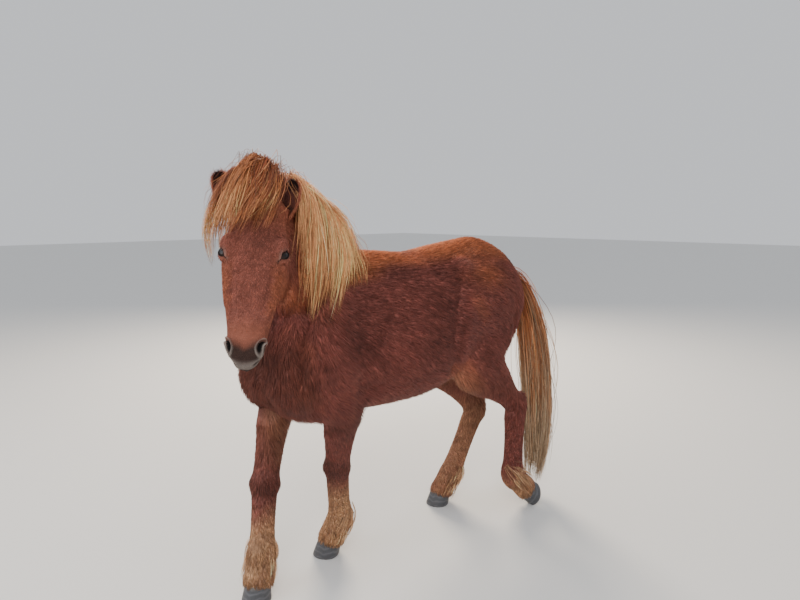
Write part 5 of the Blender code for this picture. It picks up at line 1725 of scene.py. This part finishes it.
class HorseCoatSettings(PropertyGroup):
    """Colours and fineness of the short coat, the eyes and the hooves"""
    body: colour_prop("Body", "Chestnut of the trunk", (0.265, 0.085, 0.070))
    # Orange-brown: the coat's own orange in random patches and on the ears, and painted highlight along the
    # top, on the hip and at the sides of the face.
    orange_and_backlight: colour_prop("Topline", "Orange-brown of the back and croup", (0.44, 0.145, 0.062))
    # Darker brown used as painted shade under the belly, on the breast under the head and on the brow under
    # the forelock.
    under: colour_prop("Under", "Darker brown of the belly", (0.150, 0.050, 0.036))
    legs: colour_prop("Legs", "Pale tan below the knees and hocks", (0.49, 0.285, 0.155))
    knees: colour_prop("Knees", "Dark brown of the knees", (0.085, 0.038, 0.026))
    face: colour_prop("Face", "Brown of the face", (0.330, 0.115, 0.085))
    muzzle: colour_prop("Muzzle", "Grey-brown of the muzzle", (0.034, 0.025, 0.022))
    rims: colour_prop("Rims", "Pale hair round the nostrils, lips and eyes", (0.50, 0.43, 0.38))
    # Near black: painted shade inside the nostrils, between the lips and inside the ears, and the dark skin
    # at the rims of the lids.
    pits: colour_prop("Pits", "Inside the nostrils, lips and ears", (0.010, 0.008, 0.008))
    iris: colour_prop("Iris", "Iris of the eyes", (0.016, 0.006, 0.003))
    horn: colour_prop("Horn", "Slate grey of the hooves", (0.060, 0.060, 0.065))
    tufts: IntProperty(name="Tufts", description="Number of tufts of short hair", default=238000, min=1000)
    clumping: FloatProperty(name="Clumping", description="How far near tips are drawn together",
                            default=0.50, min=0.0, max=1.0, subtype="FACTOR")


class HorseHairSettings(PropertyGroup):
    """Colours and fineness of the long hair"""
    root: colour_prop("Root", "Long hair at its root", (0.270, 0.082, 0.038))
    middle: colour_prop("Middle", "Long hair along its length", (0.58, 0.225, 0.086))
    tip: colour_prop("Tip", "Long hair at its tip", (0.92, 0.45, 0.20))
    shade: colour_prop("Shade", "Greyish hair low in the tail", (0.46, 0.33, 0.21))
    strand: FloatProperty(name="Strand", description="Width of one strand of long hair", default=0.0019,
                          unit="LENGTH", min=0.0005)
    mane: IntProperty(name="Mane", description="Strands in each lock of the mane", default=28, min=4)
    forelock: IntProperty(name="Forelock", description="Strands in each lock of the forelock",
                          default=24, min=4)
    tail: IntProperty(name="Tail", description="Strands in each lock of the tail", default=40, min=4)
    feathers: IntProperty(name="Feathers", description="Locks of feather on each leg", default=60, min=4)


class HorseStageSettings(PropertyGroup):
    """Floor, surround and camera"""
    floor_colour: colour_prop("Floor", "Colour of the plain floor", (0.70, 0.70, 0.69))
    sky_strength: FloatProperty(name="Sky", description="Strength of the plain surround", default=0.85,
                                min=0.0)
    camera_place: FloatVectorProperty(name="Camera", description="Where the photograph was taken from",
                                      size=3, subtype="XYZ", unit="LENGTH", default=(1.6962, 1.7330, 1.437))
    camera_pitch: FloatProperty(name="Pitch", description="How far the camera looks down, in degrees",
                                default=8.43, min=-90.0, max=90.0)


def colours_of(settings):
    """The colours of the markings by name."""
    names = ("body", "orange_and_backlight", "under", "legs", "knees", "face", "muzzle", "rims", "pits")
    return {name: np.array(getattr(settings, name)) for name in names}


def hair_colours():
    """The colours of the long hair by name."""
    settings = bpy.context.scene.horse_hair
    return {name: np.array(getattr(settings, name)) for name in ("root", "middle", "tip", "shade")}


def tree_of(obj):
    """A search tree over the finished piece, back where the forms were made."""
    data = obj.data
    places = [v.co - ORIGIN_SHIFT for v in data.vertices]
    return BVHTree.FromPolygons(places, [list(f.vertices) for f in data.polygons])


class HORSE_OT_skin(Operator):
    """Make the skin of the whole horse"""
    bl_idname = "horse.skin"
    bl_label = "Skin"

    def execute(self, context):
        skin = made_skin()
        paint(skin.data, coat_tint(vertex_array(skin), colours_of(context.scene.horse_coat)) * 0.62)
        skin.data.materials.clear()
        skin.data.materials.append(finishes()["coat_skin"])
        unwrapped(skin)
        placed(skin, "coat", *FLESH_NODES)
        return {"FINISHED"}


class HORSE_OT_features(Operator):
    """Make the eyes, the hooves and the ears"""
    bl_idname = "horse.features"
    bl_label = "Eyes, Hooves and Ears"

    def execute(self, context):
        settings = context.scene.horse_coat
        make_eye(1, "left", settings)
        make_eye(-1, "right", settings)
        for key, place in HOOVES.items():
            hoof_shell(place, key, settings)
        ear_shell(1, "left", colours_of(settings))
        ear_shell(-1, "right", colours_of(settings))
        return {"FINISHED"}


class HORSE_OT_coat(Operator):
    """Grow the short hair on the skin"""
    bl_idname = "horse.coat"
    bl_label = "Short Coat"

    def execute(self, context):
        skin = bpy.data.objects.get("skin")
        if skin is None:
            raise RuntimeError("Make the skin before its coat")
        grow_coat(skin, context.scene.horse_coat, colours_of(context.scene.horse_coat))
        return {"FINISHED"}


class HORSE_OT_long_hair(Operator):
    """Grow the mane, the forelock, the tail and the feathers"""
    bl_idname = "horse.long_hair"
    bl_label = "Long Hair"

    def execute(self, context):
        skin = bpy.data.objects.get("skin")
        if skin is None:
            raise RuntimeError("Make the skin before its hair")
        settings, tones = context.scene.horse_hair, hair_colours()
        tree = tree_of(skin)
        ground = (skin, tree)
        draw = random.Random(5)
        falling = (tones["root"], tones["middle"], tones["tip"], tones["tip"])
        ginger = (tones["middle"] * 0.75, tones["middle"] * 0.9, tones["middle"], tones["tip"])
        rusty = (tones["root"], tones["root"] * 0.8, tones["root"], tones["middle"])
        width = settings.strand
        rings = neck()
        crest = [rings[int(len(rings) - 2 - k * (len(rings) - 11) / 6)][7] for k in range(7)]
        outer = keyed_guides(crest, MANE_KEYS, 30, (0.80, 1.02), 0.0, tree, draw)
        outer += keyed_guides(crest, MANE_KEYS, 26, (0.55, 0.90), 0.010, tree, draw)
        outer += keyed_guides(crest[1:4], WILD_KEYS, 4, (0.8, 1.05), 0.0, tree, draw, shake=0.02)
        long_hair("mane_left", ground, outer, settings.mane, 0.013, 0.014, width, falling, "mane_hair",
                  (), 51)
        inner = mane_guides(tree, 22, 1, 0.85, 0.012, draw) + keyed_guides(
            crest, MANE_KEYS, 14, (0.30, 0.55), -0.008, tree, draw)
        long_hair("mane_under", ground, inner, settings.mane, 0.018, 0.008, width, rusty, "mane_hair", (), 50)
        right = mane_guides(tree, 16, -1, 0.85, 0.020, draw) + mane_guides(tree, 10, -1, 0.6, 0.032, draw)
        poll = [HEAD.at(-0.200, -0.070, -0.130), HEAD.at(-0.190, -0.075, -0.200)]
        right += keyed_guides(poll, FAR_KEYS, 12, (0.75, 1.0), 0.0, tree, draw)
        long_hair("mane_right", ground, right, settings.mane, 0.015, 0.010, width, falling, "mane_hair",
                  (), 52)
        brow = [HEAD.at(-0.235, (k - 3) / 3 * 0.048, -0.085) for k in range(7)]
        front = keyed_guides(brow, FORELOCK_KEYS, 36, (0.72, 1.0), 0.0, tree, draw, shake=0.010)
        long_hair("forelock", ground, front, settings.forelock, 0.009, 0.008, width * 0.85, ginger,
                  "mane_hair", (), 53, loose=0.008)
        short = keyed_guides(brow, FORELOCK_KEYS, 30, (0.35, 0.72), -0.006, tree, draw, shake=0.012)
        short += keyed_guides(brow[3:], FORELOCK_KEYS[3:], 26, (0.55, 1.1), -0.004, tree, draw, shake=0.014)
        short += keyed_guides(brow[4:1:-1], BROW_KEYS, 16, (0.55, 1.0), 0.0, tree, draw, shake=0.010)
        long_hair("forelock_under", ground, short, settings.forelock, 0.011, 0.007, width * 0.85, rusty,
                  "mane_hair", (), 55, loose=0.008)
        dock = make_dock(tones)
        rear = (tones["root"], tones["middle"] * 0.8, tones["shade"], tones["shade"])
        long_hair("tail_hair", (dock, tree_of(dock)), tail_guides(60, draw), settings.tail, 0.030, 0.013,
                  width * 1.2, rear, "mane_hair", ("tail",), 54, loose=0.009)
        pale = [np.array(context.scene.horse_coat.legs) * share for share in (0.7, 1.15, 1.6)]
        ends = dict(left_fore=LEFT_FORE, right_fore=RIGHT_FORE, left_hind=LEFT_HIND, right_hind=RIGHT_HIND)
        for index, (key, joints) in enumerate(ends.items()):
            guides = feather_guides(HOOVES[key], joints["fetlock"], tree, settings.feathers, draw)
            long_hair("feather_" + key, ground, guides, 7, 0.007, 0.004, width * 0.7, pale, "coat", (),
                      60 + index, loose=0.002)
        return {"FINISHED"}


class HORSE_OT_stage(Operator):
    """Set the floor, the light and the camera"""
    bl_idname = "horse.stage"
    bl_label = "Stage"

    def execute(self, context):
        make_stage(context.scene.horse_stage)
        return {"FINISHED"}


class HORSE_PT_panel(Panel):
    """Steps that dress the horse, in order"""
    bl_idname = "HORSE_PT_panel"
    bl_label = "Icelandic Horse"
    bl_space_type = "VIEW_3D"
    bl_region_type = "UI"
    bl_category = "Horse"

    def draw(self, context):
        for step in STEPS:
            self.layout.operator(step.bl_idname)
        for group in (context.scene.horse_coat, context.scene.horse_hair, context.scene.horse_stage):
            box = self.layout.box()
            for name in group.__annotations__:
                box.prop(group, name)


GROUPS = dict(horse_coat=HorseCoatSettings, horse_hair=HorseHairSettings, horse_stage=HorseStageSettings)
STEPS = (HORSE_OT_skin, HORSE_OT_features, HORSE_OT_coat, HORSE_OT_long_hair, HORSE_OT_stage)
CLASSES = (*GROUPS.values(), *STEPS, HORSE_PT_panel)


def register():
    """Adds the steps, the panel and the settings."""
    for one in CLASSES:
        bpy.utils.register_class(one)
    for name, group in GROUPS.items():
        setattr(bpy.types.Scene, name, PointerProperty(type=group))


def unregister():
    """Takes them away again."""
    for name in GROUPS:
        delattr(bpy.types.Scene, name)
    for one in reversed(CLASSES):
        bpy.utils.unregister_class(one)


def main():
    """Builds every piece in order."""
    register()
    for step in STEPS:
        family, name = step.bl_idname.split(".")
        getattr(getattr(bpy.ops, family), name)()


if __name__ == "__main__":
    main()
